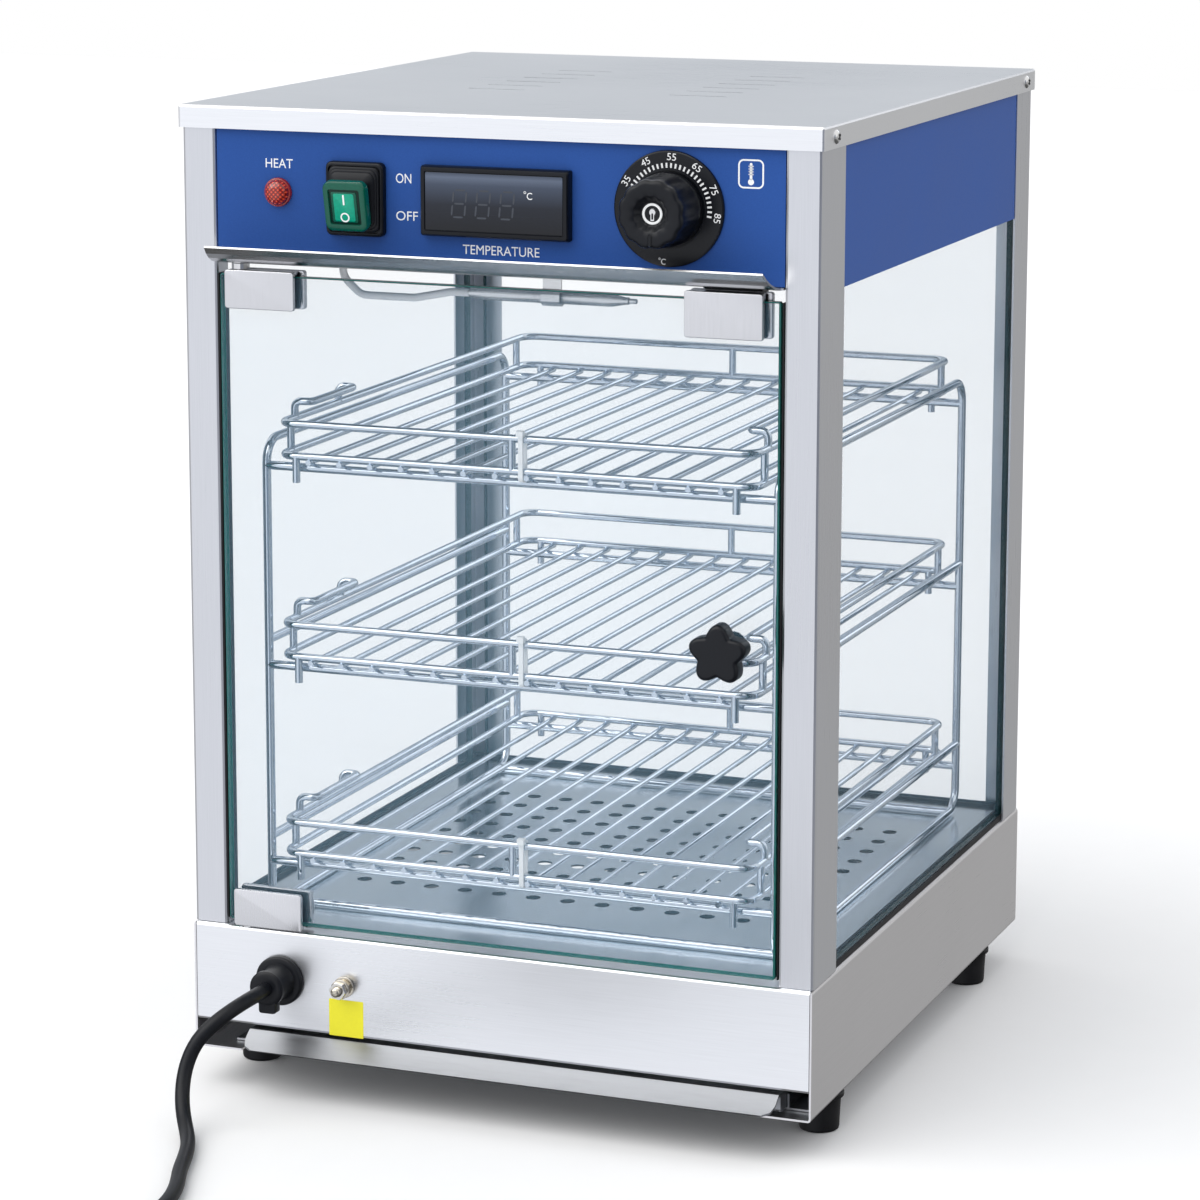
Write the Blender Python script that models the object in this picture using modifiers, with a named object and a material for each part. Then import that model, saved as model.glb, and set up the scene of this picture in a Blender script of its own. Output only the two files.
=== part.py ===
"""Countertop heated display case: glazed steel cabinet, pivoted glass door and lift-out wire shelves.

Units are metres, Z is up, the front looks along -Y and the feet stand on Z = 0.
Depths (the names with _BACK) are measured backwards from the front face of the base.
"""
import math

import bmesh
import bpy
from mathutils import Vector

# Cabinet
BODY_WIDTH = 0.335
BODY_DEPTH = 0.375
TOTAL_HEIGHT = 0.508
SHEET = 0.001
FIT = 0.0003
CUT_OVERRUN = 0.002
BASE_BOTTOM = 0.0204
BASE_TOP = 0.087
FRONT_PANEL_BOTTOM = 0.0349
TOP_FLANGE = 0.018
LOWER_FLANGE = 0.010
SIDE_TOP_FLANGE = 0.014
SIDE_LOWER_FLANGE = 0.026
BEND_RADIUS = 0.0015
BEND_STEPS = 2

# Lid
LID_OVERHANG = 0.0015
LID_SKIRT = 0.0114
LID_EDGE_RADIUS = 0.0012
SLOT_LENGTH = 0.031
SLOT_WIDTH = 0.0022
SLOT_PITCH = 0.0252
SLOT_COUNT = 6
SLOT_GROUP_CENTRE = 0.0555
SLOT_GROUP_BACK = 0.2035

# Posts
POST_SET = 0.002
POST_FACE = 0.0182
FRONT_POST_SIDE = 0.0356
REAR_POST_SIDE = 0.029
JAMB = 0.012

# Control panel and upper bands
PANEL_BACK = 0.003
PANEL_THICKNESS = 0.0012
BAND_SET = 0.0005
BAND_BOTTOM = 0.428
CEILING_HEIGHT = 0.430
LIP_REACH = 0.022
LIP_RISE = 0.0095
LIP_STEPS = 5
LIP_MITRE = 0.0034

# Fixed glass and its rubber seal
GLASS = 0.004
GLASS_SET = 0.0029
GLASS_LAP = 0.009
GLASS_UNDERLAP = 0.012
GLASS_EDGE = 0.0005
SEAL_WALL = 0.0012
SEAL_FLOOR = 0.0008
SEAL_HEIGHT = 0.0028

# Perforated floor
FLOOR_FRONT_BACK = 0.0145
HOLE_DIAMETER = 0.008
HOLE_SIDES = 6
HOLE_PITCH_X = 0.0194
HOLE_PITCH_Y = 0.0215
HOLE_COLUMNS = 13
HOLE_ROWS = 10
HOLE_FIRST_BACK = 0.100

# Feet
FOOT_BOTTOM_DIAMETER = 0.0205
FOOT_TOP_DIAMETER = 0.022
FOOT_RIM_DIAMETER = 0.025
FOOT_RIM = 0.003
FOOT_CHAMFER = 0.001
FOOT_RECESS_DIAMETER = 0.009
FOOT_RECESS = 0.008
FOOT_INSET = 0.0125
FOOT_FRONT_BACK = 0.052
FOOT_REAR_MARGIN = 0.058
FOOT_STEPS = 16

# Crumb tray
TRAY_LEFT = -0.1365
TRAY_RIGHT = 0.151
TRAY_SHEET = 0.0008
TRAY_TOP = 0.0336
TRAY_FRONT_BACK = 0.0025
TRAY_DEPTH = 0.335
TRAY_LIP_REACH = 0.0135
TRAY_LIP_DROP = 0.009
TRAY_LIP_CORNER = 0.005
RAIL_FRONT_BACK = 0.012
RAIL_LENGTH = 0.330
RAIL_WING_IN = 0.011
RAIL_WING_OUT = 0.012
RAIL_RISE = 0.008
RAIL_PLAY = 0.0004

# Heating element
ELEMENT_DIAMETER = 0.008
ELEMENT_LEG_PITCH = 0.070
ELEMENT_FRONT_BACK = 0.075
ELEMENT_REAR_MARGIN = 0.050
ELEMENT_TAIL_BACK = 0.046
ELEMENT_HEIGHT = 0.057
BRACKET_WIDTH = 0.018
BRACKET_FLANGE = 0.012
BRACKET_BACK = 0.190

# Terminal block and wiring
TERMINAL_CENTRE = -0.035
TERMINAL_WIDTH = 0.048
TERMINAL_DEPTH = 0.014
TERMINAL_BOTTOM = 0.050
TERMINAL_HEIGHT = 0.016
TERMINAL_NOTCH = 0.004
TERMINAL_WAYS = 4
LOOM_DIAMETER = 0.005
LOOM_EDGE_MARGIN = 0.0047
LOOM_BACK = 0.0222
LOOM_RUN_BACK = 0.048
LOOM_RUN_HEIGHT = 0.452
LOOM_BEND = 0.010

# Indicator lamp
LAMP_CENTRE = -0.1152
LAMP_HEIGHT = 0.4660
LAMP_DIAMETER = 0.0145
LAMP_REACH = 0.006
LAMP_BODY_DIAMETER = 0.010
LAMP_BODY_LENGTH = 0.024

# Rocker switch
SWITCH_CENTRE = -0.0725
SWITCH_HEIGHT = 0.4645
SWITCH_WIDTH = 0.031
SWITCH_TALL = 0.0365
SWITCH_RIM = 0.004
SWITCH_BODY_WIDTH = 0.024
SWITCH_BODY_TALL = 0.029
SWITCH_BODY_DEPTH = 0.028
SWITCH_CORNER = 0.003
BOOT_REACH = 0.0052
BOOT_WIDTH = 0.024
BOOT_TALL = 0.026
ROCKER_WIDTH = 0.0245
ROCKER_TALL = 0.0275
ROCKER_THICKNESS = 0.004
ROCKER_TILT = math.radians(12.0)
ROCKER_PIVOT_DEPTH = 0.0015
ROCKER_CORNER = 0.004
ROCKER_WINDOW_WIDTH = 0.014
ROCKER_WINDOW_TALL = 0.018
ROCKER_WINDOW_DEPTH = 0.0008

# Thermometer
METER_CENTRE = 0.0020
METER_HEIGHT = 0.4655
METER_WIDTH = 0.078
METER_TALL = 0.0345
METER_REACH = 0.0055
METER_CORNER = 0.0015
METER_BODY_WIDTH = 0.071
METER_BODY_TALL = 0.029
METER_BODY_DEPTH = 0.025
METER_FRAME = 0.0028
METER_WINDOW_THICKNESS = 0.0015

# Thermostat, dial and knob
DIAL_CENTRE = 0.0908
DIAL_HEIGHT = 0.4663
DIAL_DIAMETER = 0.0560
DIAL_THICKNESS = 0.002
DIAL_RING_DIAMETER = 0.037
DIAL_RING_RISE = 0.0006
DIAL_STEPS = 32
SHAFT_DIAMETER = 0.006
SHAFT_CLEARANCE = 0.0001
SHAFT_HOLE = 0.010
SHAFT_ENTRY = 0.012
THERMOSTAT_WIDTH = 0.034
THERMOSTAT_TALL = 0.032
THERMOSTAT_DEPTH = 0.026
THERMOSTAT_BOSS_DIAMETER = 0.014
THERMOSTAT_BOSS = 0.002
KNOB_DIAMETER = 0.0355
KNOB_FRONT_DIAMETER = 0.0335
KNOB_LENGTH = 0.0245
KNOB_EDGE = 0.0012
KNOB_RECESS_DIAMETER = 0.0190
KNOB_RECESS = 0.0035
KNOB_RECESS_FLOOR_DIAMETER = 0.0150
KNOB_LOBES = 16
KNOB_FLUTE_DEPTH = 0.0008
KNOB_FLUTE_START = 0.006
KNOB_STEPS = 48
POINTER_WIDTH = 0.0016
POINTER_DEPTH = 0.0008

# Sensor in the chamber
PROBE_DIAMETER = 0.0065
PROBE_NECK_DIAMETER = 0.0025
PROBE_TAPER = 0.008
PROBE_TIP = 0.006
PROBE_LEFT = -0.037
PROBE_RIGHT = 0.053
PROBE_BACK = 0.060
PROBE_HEIGHT = 0.4125
LEAD_DIAMETER = 0.004
LEAD_HOLE = 0.007
LEAD_EXIT = -0.107
LEAD_SAG = 0.020
LEAD_RUN_HEIGHT = 0.444
CLIP_CENTRE = 0.008
CLIP_WIDTH = 0.010
CLIP_SHEET = 0.001
CLIP_FOOT = 0.030

# Door
DOOR_EDGE_GAP = 0.0018
DOOR_GLASS = 0.005
DOOR_FRONT_BACK = 0.001
DOOR_BOTTOM = 0.0905
DOOR_TOP = 0.4243
DOOR_EDGE = 0.0006
PIVOT_INSET = 0.0105
CLAMP_LEFT = -0.1435
CLAMP_LENGTH = 0.038
CLAMP_HEIGHT = 0.0195
CLAMP_WEB = 0.0022
CLAMP_FRONT_REACH = 0.003
CLAMP_REAR_REACH = 0.004
CATCH_LEFT = 0.100
CATCH_LENGTH = 0.040
CATCH_HEIGHT = 0.0225
CATCH_WEB = 0.0035
PIN_DIAMETER = 0.0044
PIN_CLEARANCE = 0.0001
PIN_COLLAR_DIAMETER = 0.009
PIN_ENTRY = 0.0020
PIN_STEPS = 16
MAGNET_WIDTH = 0.030
MAGNET_DEPTH = 0.011
MAGNET_HEIGHT = 0.013
MAGNET_EDGE = 0.001

# Star knob on the door
STAR_CENTRE = 0.1235
STAR_HEIGHT = 0.2550
STAR_DIAMETER = 0.0300
STAR_VALLEY_SHARE = 0.72
STAR_LOBES = 5
STAR_POINTS = 40
STAR_HEAD = 0.011
STAR_ROUND = 0.0014
STAR_NECK = 0.009
STAR_NECK_DIAMETER = 0.014
STAR_RECESS_DIAMETER = 0.010
STAR_RECESS = 0.0015
STUD_DIAMETER = 0.005
STUD_HOLE = 0.0065
NUT_ACROSS = 0.009
NUT_THICKNESS = 0.004
NUT_WASHER_DIAMETER = 0.014
NUT_WASHER = 0.001
STUD_TIP = 0.0012

# Shelf stand and shelves
WIRE_SIDES_BEVEL = 1
STAND_WIRE = 0.0045
STAND_HALF_WIDTH = 0.1375
STAND_FRONT_BACK = 0.0310
STAND_REAR_BACK = 0.3500
STAND_BEND = 0.012
STAND_SIDE_RISE = 0.0130
SHELF_WIRE = 0.004
SHELF_HALF_WIDTH = 0.1275
SHELF_FRONT_OVERHANG = 0.0060
SHELF_CORNER = 0.009
SHELF_HEIGHTS = (0.1215, 0.2255, 0.3295)
SHELF_NAMES = ("shelf_bottom", "shelf_middle", "shelf_top")
GUARD_RISE = 0.0165
GRID_WIRE = 0.003
GRID_WIRES = 14
GRID_PITCH = 0.0170
GRID_END = 0.0022
PEG_LENGTH = 0.0135
PEG_INSET = 0.0005
POST_WIRE_BACK = 0.014
GRIP_START = 0.010
GRIP_LENGTH = 0.053
GRIP_RISE = 0.0085
GRIP_REACH = 0.0095
GRIP_BEND = 0.0035
WELD_SINK = 0.0008

# Earth stud
EARTH_CENTRE = -0.0826
EARTH_HEIGHT = 0.0614
EARTH_DIAMETER = 0.005
EARTH_REACH = 0.0125
EARTH_INSIDE = 0.006
EARTH_HEAD_DIAMETER = 0.009
EARTH_HEAD = 0.003
EARTH_NUT_ACROSS = 0.008
EARTH_NUT = 0.0035
EARTH_WASHER_DIAMETER = 0.011
EARTH_WASHER = 0.0012
EARTH_HOLE = 0.0060

# Cord gland
GLAND_CENTRE = -0.1186
GLAND_HEIGHT = 0.0610
GLAND_FLANGE_DIAMETER = 0.026
GLAND_FLANGE = 0.003
GLAND_BARREL_DIAMETER = 0.0165
GLAND_RIM_DIAMETER = 0.0185
GLAND_RIM = 0.003
GLAND_REACH = 0.018
GLAND_HOLE = 0.014
GLAND_STEM_DIAMETER = 0.0134
GLAND_STEM = 0.008
GLAND_STEPS = 24

# Cord: route points are given from the middle of the cabinet and from its front face
CORD_DIAMETER = 0.0075
CORD_SIDES_BEVEL = 2
CORD_SAMPLES = 30
CORD_LIFT = 0.0003
CORD_ROUTE = (
    (-0.1186, -0.0183, 0.0610),
    (-0.1186, -0.0265, 0.0610),
    (-0.1221, -0.0400, 0.0591),
    (-0.1301, -0.0516, 0.0525),
    (-0.1381, -0.0569, 0.0433),
    (-0.1426, -0.0614, 0.0301),
    (-0.1409, -0.0692, 0.0165),
    (-0.1342, -0.0794, 0.0075),
    (-0.1261, -0.0921, 0.0042),
    (-0.1183, -0.1098, 0.00405),
    (-0.1104, -0.1320, 0.00405),
    (-0.1009, -0.1552, 0.00405),
    (-0.0952, -0.1802, 0.00405),
    (-0.0955, -0.2074, 0.00405),
    (-0.0980, -0.2365, 0.00405),
)
COIL_CENTRE_X = -0.0455
COIL_CENTRE_BACK = -0.2520
COIL_OUTER_RADIUS = 0.0525
COIL_PITCH = 0.0081
COIL_LAYER = 0.0080
COIL_TURNS = 2
COIL_POINTS = 24
COIL_OPEN_SHARE = 0.25
COIL_LEAD = 0.0155
COIL_TAIL_RISE = 0.0067
COIL_TAIL = (
    (0.0150, -0.0016, 0.08),
    (0.0240, -0.0021, 0.42),
    (0.0340, -0.0023, 0.88),
    (0.0440, -0.0023, 1.00),
)
PLUG_FACE_DIAMETER = 0.0370
PLUG_LENGTH = 0.0300
PLUG_NECK_DIAMETER = 0.016
PLUG_NECK = 0.022
PLUG_SLEEVE_DIAMETER = 0.011
PLUG_STEPS = 24
PLUG_PIN_DIAMETER = 0.0048
PLUG_PIN_LENGTH = 0.019
PLUG_PIN_PITCH = 0.019
PLUG_FACE_RECESS = 0.002

MERGE = 0.00001
TURN = 2 * math.pi

# The part stands with its own box centred on the origin: the knob reaches forward, the lid back.
PANEL_FRONT = PANEL_BACK
KNOB_START = PANEL_FRONT - 2 * FIT - DIAL_THICKNESS
KNOB_REACH = KNOB_LENGTH - KNOB_START
FRONT_Y = (KNOB_REACH - BODY_DEPTH) / 2

HALF = BODY_WIDTH / 2
WALL = HALF - SHEET
SIDE_GLASS_OUT = HALF - GLASS_SET
SEAL_OUT = SIDE_GLASS_OUT + FIT + SEAL_WALL
SEAL_WIDTH = GLASS + 2 * (FIT + SEAL_WALL)
SEAL_IN = SEAL_OUT - SEAL_WIDTH
REAR_POST_BACK = BODY_DEPTH - POST_SET
REAR_GLASS_BACK = BODY_DEPTH - POST_SET - GLASS_SET
REAR_SEAL_IN = REAR_GLASS_BACK - SEAL_WIDTH + FIT + SEAL_WALL
FLOOR_BOTTOM = BASE_TOP + FIT
FLOOR_TOP = FLOOR_BOTTOM + SHEET
GLASS_BOTTOM = FLOOR_BOTTOM + SEAL_FLOOR + FIT
POST_INNER = HALF - POST_FACE
LID_UNDER = TOTAL_HEIGHT - SHEET


def back(depth):
    """World Y of a depth behind the front face of the base."""
    return FRONT_Y + depth


def clear_scene():
    for obj in list(bpy.data.objects):
        bpy.data.objects.remove(obj, do_unlink=True)
    for old in list(bpy.data.collections):
        bpy.data.collections.remove(old)


def add_collection(name):
    made = bpy.data.collections.new(name)
    bpy.context.scene.collection.children.link(made)
    return made


clear_scene()
PARTS = add_collection("heated_display_case")
CUTTERS = add_collection("cutters")


# Materials

def finish(name, colour, metallic=0.0, roughness=0.5):
    """One Principled material, made once."""
    known = bpy.data.materials.get(name)
    if known:
        return known
    material = bpy.data.materials.new(name)
    material.use_nodes = True
    shader = material.node_tree.nodes["Principled BSDF"]
    shader.inputs["Base Color"].default_value = (*colour, 1.0)
    shader.inputs["Metallic"].default_value = metallic
    shader.inputs["Roughness"].default_value = roughness
    material.diffuse_color = (*colour, 1.0)
    return material


STEEL = finish("brushed_stainless", (0.62, 0.62, 0.63), 1.0, 0.35)
BLUE = finish("blue_powder_coat", (0.03, 0.07, 0.27), 0.0, 0.5)
CHROME = finish("chromed_wire", (0.75, 0.77, 0.80), 1.0, 0.12)
CLEAR = finish("tempered_glass", (0.80, 0.90, 0.88), 0.0, 0.03)
RUBBER = finish("black_rubber", (0.012, 0.012, 0.014), 0.0, 0.7)
PLASTIC = finish("black_plastic", (0.015, 0.015, 0.017), 0.0, 0.4)
GREEN = finish("green_rocker", (0.0, 0.24, 0.12), 0.0, 0.25)
RED = finish("red_lens", (0.55, 0.05, 0.02), 0.0, 0.2)
WHITE = finish("white_sleeve", (0.75, 0.76, 0.80), 0.0, 0.5)
BRASS = finish("nickel_brass", (0.62, 0.58, 0.48), 1.0, 0.3)


# Shape helpers

def link(name, data, material, parts=True):
    """Object with its material, in the model or among the cutters."""
    obj = bpy.data.objects.new(name, data)
    (PARTS if parts else CUTTERS).objects.link(obj)
    if not parts:
        obj.hide_render = True
        obj.display_type = "WIRE"
    elif material:
        data.materials.clear()
        data.materials.append(material)
    return obj


def block(name, low, high, material=None, parts=True):
    """Box between two corners, with its origin at its middle."""
    low, high = Vector(low), Vector(high)
    shape = bmesh.new()
    bmesh.ops.create_cube(shape, size=1.0)
    bmesh.ops.scale(shape, vec=high - low, verts=shape.verts)
    mesh = bpy.data.meshes.new(name)
    shape.to_mesh(mesh)
    shape.free()
    obj = link(name, mesh, material, parts)
    obj.location = (low + high) / 2
    return obj


def rounded(points, radius, steps, closed=False):
    """Path with each corner replaced by an arc; points may be 2D or 3D."""
    count = len(points)
    path = []
    for index, point in enumerate(points):
        here = Vector(point)
        if not closed and index in (0, count - 1):
            path.append(here)
            continue
        before = Vector(points[index - 1]) - here
        after = Vector(points[(index + 1) % count]) - here
        half_angle = before.angle(after) / 2
        if half_angle > math.radians(89.0) or radius <= 0:
            path.append(here)
            continue
        reach = min(radius / math.tan(half_angle), before.length * 0.49, after.length * 0.49)
        bend = reach * math.tan(half_angle)
        middle = here + (before.normalized() + after.normalized()).normalized() * bend / math.sin(half_angle)
        start = here + before.normalized() * reach - middle
        end = here + after.normalized() * reach - middle
        swing = start.angle(end)
        for step in range(steps + 1):
            share = step / steps
            arm = (start * math.sin((1 - share) * swing) + end * math.sin(share * swing)) / math.sin(swing)
            path.append(middle + arm)
    return path


def folded(points, thickness, radius=BEND_RADIUS, steps=BEND_STEPS):
    """Outline of a folded sheet: the path and its copy set off to its left."""
    path = rounded([Vector(point) for point in points], radius, steps)
    offset = []
    for index, point in enumerate(path):
        ahead = (path[min(index + 1, len(path) - 1)] - point)
        behind = (point - path[max(index - 1, 0)])
        ahead = ahead.normalized() if ahead.length else behind.normalized()
        behind = behind.normalized() if behind.length else ahead
        normal_a = Vector((-behind.y, behind.x))
        normal_b = Vector((-ahead.y, ahead.x))
        side = (normal_a + normal_b).normalized()
        offset.append(point + side * thickness / max(side.dot(normal_b), 0.5))
    return path + offset[::-1]


def circle(centre, diameter, sides, turn=0.0):
    """Points round a circle."""
    return [(centre[0] + diameter / 2 * math.cos(turn + TURN * k / sides),
             centre[1] + diameter / 2 * math.sin(turn + TURN * k / sides)) for k in range(sides)]


def rectangle(left, right, bottom, top, corner=0.0, steps=2):
    """Points round a rectangle, with rounded corners on request."""
    points = [(left, bottom), (right, bottom), (right, top), (left, top)]
    return rounded(points, corner, steps, closed=True) if corner else points


AXIS_TURN = {"X": (math.pi / 2, 0.0, math.pi / 2), "Y": (math.pi / 2, 0.0, 0.0), "Z": (0.0, 0.0, 0.0)}


def extruded(name, outline, axis, start, end, material=None, holes=(), parts=True, edge=0.0):
    """Flat outline pushed along an axis. Outlines are (y, z) for X, (x, z) for Y and (x, y) for Z."""
    curve = bpy.data.curves.new(name, "CURVE")
    curve.dimensions = "2D"
    curve.fill_mode = "BOTH"
    curve.extrude = (end - start) / 2 - edge
    curve.bevel_depth = edge
    curve.bevel_resolution = 1
    curve.offset = -edge
    for loop in (outline, *holes):
        spline = curve.splines.new("POLY")
        spline.points.add(len(loop) - 1)
        for point, place in zip(spline.points, loop):
            point.co = (place[0], place[1], 0.0, 1.0)
        spline.use_cyclic_u = True
    obj = link(name, curve, material, parts)
    obj.rotation_euler = AXIS_TURN[axis]
    middle = (start + end) / 2
    obj.location = {"X": (middle, 0.0, 0.0), "Y": (0.0, middle, 0.0), "Z": (0.0, 0.0, middle)}[axis]
    return obj


def as_mesh(obj, keep_in_parts=False):
    """Turn a curve object, or one with modifiers, into a plain welded mesh object."""
    bpy.context.view_layer.update()
    depsgraph = bpy.context.evaluated_depsgraph_get()
    mesh = bpy.data.meshes.new_from_object(obj.evaluated_get(depsgraph), depsgraph=depsgraph)
    shape = bmesh.new()
    shape.from_mesh(mesh)
    bmesh.ops.remove_doubles(shape, verts=shape.verts, dist=MERGE)
    shape.to_mesh(mesh)
    shape.free()
    material = obj.data.materials[0] if obj.data.materials else None
    made = link(obj.name + "_solid", mesh, material, keep_in_parts)
    made.matrix_world = obj.matrix_world.copy()
    name = obj.name
    bpy.data.objects.remove(obj, do_unlink=True)
    made.name = name
    return made


def cut(obj, *cutters):
    """Take the cutters out of a solid."""
    for cutter in cutters:
        modifier = obj.modifiers.new("cut", "BOOLEAN")
        modifier.operation = "DIFFERENCE"
        modifier.solver = "EXACT"
        modifier.object = cutter
    return obj


def fused(name, pieces, material):
    """Join overlapping pieces into one closed solid."""
    pieces = [as_mesh(piece) for piece in pieces]
    scratch = bpy.data.collections.new("fusing")
    bpy.context.scene.collection.children.link(scratch)
    for piece in pieces[1:]:
        scratch.objects.link(piece)
    modifier = pieces[0].modifiers.new("join", "BOOLEAN")
    modifier.operation = "UNION"
    modifier.solver = "EXACT"
    modifier.operand_type = "COLLECTION"
    modifier.collection = scratch
    joined = as_mesh(pieces[0])
    for piece in pieces[1:]:
        bpy.data.objects.remove(piece, do_unlink=True)
    bpy.data.collections.remove(scratch)
    obj = link(name, joined.data, material)
    obj.matrix_world = joined.matrix_world.copy()
    bpy.data.objects.remove(joined, do_unlink=True)
    return obj


def turned(name, profile, steps, place, axis, material=None, parts=True):
    """Profile of (radius, height) points, listed from the top down the outer side, turned full circle."""
    mesh = bpy.data.meshes.new(name)
    ring = profile[0] == profile[-1]
    points = [(radius, 0.0, height) for radius, height in (profile[:-1] if ring else profile)]
    edges = [(k, k + 1) for k in range(len(points) - 1)]
    if ring:
        edges.append((len(points) - 1, 0))
    mesh.from_pydata(points, edges, [])
    obj = link(name, mesh, material, parts)
    screw = obj.modifiers.new("turn", "SCREW")
    screw.steps = steps
    screw.render_steps = steps
    screw.use_merge_vertices = True
    screw.merge_threshold = MERGE
    screw.use_smooth_shade = True
    obj.location = place
    obj.rotation_euler = {"Z": (0.0, 0.0, 0.0), "-Y": (math.pi / 2, 0.0, 0.0),
                          "X": (0.0, math.pi / 2, 0.0)}[axis]
    return obj


def rod(name, points, diameter, material=None, closed=False, sides=WIRE_SIDES_BEVEL, parts=False):
    """Round wire or tube along a path."""
    curve = bpy.data.curves.new(name, "CURVE")
    curve.dimensions = "3D"
    curve.bevel_depth = diameter / 2
    curve.bevel_resolution = sides
    curve.use_fill_caps = True
    spline = curve.splines.new("POLY")
    spline.points.add(len(points) - 1)
    for point, place in zip(spline.points, points):
        point.co = (*place, 1.0)
    spline.use_cyclic_u = closed
    return link(name, curve, material, parts)


def bevelled(obj, width, segments=1, angle=40.0):
    """Broken or rounded edges."""
    modifier = obj.modifiers.new("edges", "BEVEL")
    modifier.width = width
    modifier.segments = segments
    modifier.limit_method = "ANGLE"
    modifier.angle_limit = math.radians(angle)
    return obj


def mirrored(points):
    """The same outline on the other side of the middle plane, in the same turning sense."""
    return [(-point[0], point[1]) for point in points][::-1]


# Lid: a folded pan with two groups of vent slots

def build_lid():
    half = HALF + LID_OVERHANG
    low = (-half, back(0.0), TOTAL_HEIGHT - LID_SKIRT)
    lid = block("top_cover", low, (half, back(BODY_DEPTH), TOTAL_HEIGHT), STEEL)
    shape = bmesh.new()
    shape.from_mesh(lid.data)
    under = [face for face in shape.faces if face.normal.z < -0.5]
    bmesh.ops.delete(shape, geom=under, context="FACES")
    shape.to_mesh(lid.data)
    shape.free()
    bevelled(lid, LID_EDGE_RADIUS, 2)
    wall = lid.modifiers.new("sheet", "SOLIDIFY")
    wall.thickness = SHEET
    wall.offset = -1.0
    wall.use_even_offset = True
    for side in (-1, 1):
        for row in range(SLOT_COUNT):
            depth = SLOT_GROUP_BACK + (row - (SLOT_COUNT - 1) / 2) * SLOT_PITCH
            slot = rectangle(side * SLOT_GROUP_CENTRE - SLOT_LENGTH / 2, side * SLOT_GROUP_CENTRE + SLOT_LENGTH / 2,
                             back(depth) - SLOT_WIDTH / 2, back(depth) + SLOT_WIDTH / 2)
            cutter = extruded(f"slot_{side}_{row}", slot, "Z", LID_UNDER - CUT_OVERRUN,
                              TOTAL_HEIGHT + CUT_OVERRUN, parts=False)
            cut(lid, as_mesh(cutter))
    return lid


# Corner posts: folded sheet, the front ones with a jamb that the door closes between

def build_posts():
    bottom = BASE_TOP + FIT
    top = LID_UNDER - FIT
    front = back(POST_SET)
    front_path = [(-POST_INNER, front + JAMB), (-POST_INNER, front), (-HALF, front),
                  (-HALF, front + FRONT_POST_SIDE)]
    rear = back(REAR_POST_BACK)
    rear_path = [(-HALF, rear - REAR_POST_SIDE), (-HALF, rear), (-POST_INNER, rear)]
    for name, path in (("front", front_path), ("rear", rear_path)):
        left = folded(path, -SHEET)
        extruded(f"post_{name}_left", left, "Z", bottom, top, STEEL)
        extruded(f"post_{name}_right", mirrored(left), "Z", bottom, top, STEEL)


# Base: front, rear and side panels folded from sheet

def build_base():
    front = [(back(LOWER_FLANGE), FRONT_PANEL_BOTTOM), (back(0.0), FRONT_PANEL_BOTTOM),
             (back(0.0), BASE_TOP), (back(TOP_FLANGE), BASE_TOP)]
    outline = folded(front, -SHEET)
    inner = WALL - FIT
    panel = as_mesh(extruded("base_front_panel", outline, "X", -inner, inner, STEEL), keep_in_parts=True)
    gland_hole = turned("gland_hole", [(0.0, CUT_OVERRUN), (GLAND_HOLE / 2, CUT_OVERRUN),
                                       (GLAND_HOLE / 2, -SHEET - CUT_OVERRUN), (0.0, -SHEET - CUT_OVERRUN)],
                        GLAND_STEPS, (GLAND_CENTRE, back(0.0), GLAND_HEIGHT), "-Y", parts=False)
    earth_hole = turned("earth_hole", [(0.0, CUT_OVERRUN), (EARTH_HOLE / 2, CUT_OVERRUN),
                                       (EARTH_HOLE / 2, -SHEET - CUT_OVERRUN), (0.0, -SHEET - CUT_OVERRUN)],
                        PIN_STEPS, (EARTH_CENTRE, back(0.0), EARTH_HEIGHT), "-Y", parts=False)
    cut(panel, gland_hole, earth_hole)
    rear = [(2 * back(0.0) + BODY_DEPTH - y, z) for y, z in outline][::-1]
    extruded("base_rear_panel", rear, "X", -inner, inner, STEEL)
    side_path = [(-HALF + SIDE_LOWER_FLANGE, BASE_BOTTOM), (-HALF, BASE_BOTTOM), (-HALF, BASE_TOP),
                 (-HALF + SIDE_TOP_FLANGE, BASE_TOP)]
    side = folded(side_path, -SHEET)
    flange_start = LOOM_BACK + LOOM_DIAMETER / 2 + 2 * FIT
    for name, outline in (("left", side), ("right", mirrored(side))):
        sign = -1 if name == "left" else 1
        panel = as_mesh(extruded(f"base_side_{name}", outline, "Y", back(0.0), back(BODY_DEPTH), STEEL),
                        keep_in_parts=True)
        reach = sorted((sign * WALL, sign * (WALL - SIDE_LOWER_FLANGE)))
        front_notch = block(f"front_notch_{name}", (reach[0], back(-CUT_OVERRUN), BASE_TOP - SHEET - CUT_OVERRUN),
                            (reach[1], back(flange_start), BASE_TOP + CUT_OVERRUN), parts=False)
        rear_notch = block(f"rear_notch_{name}",
                           (reach[0], back(BODY_DEPTH - TOP_FLANGE - FIT), BASE_TOP - SHEET - CUT_OVERRUN),
                           (reach[1], back(BODY_DEPTH + CUT_OVERRUN), BASE_TOP + CUT_OVERRUN), parts=False)
        cut(panel, front_notch, rear_notch)


# Floor of the chamber: a sheet with a grid of round holes

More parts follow.
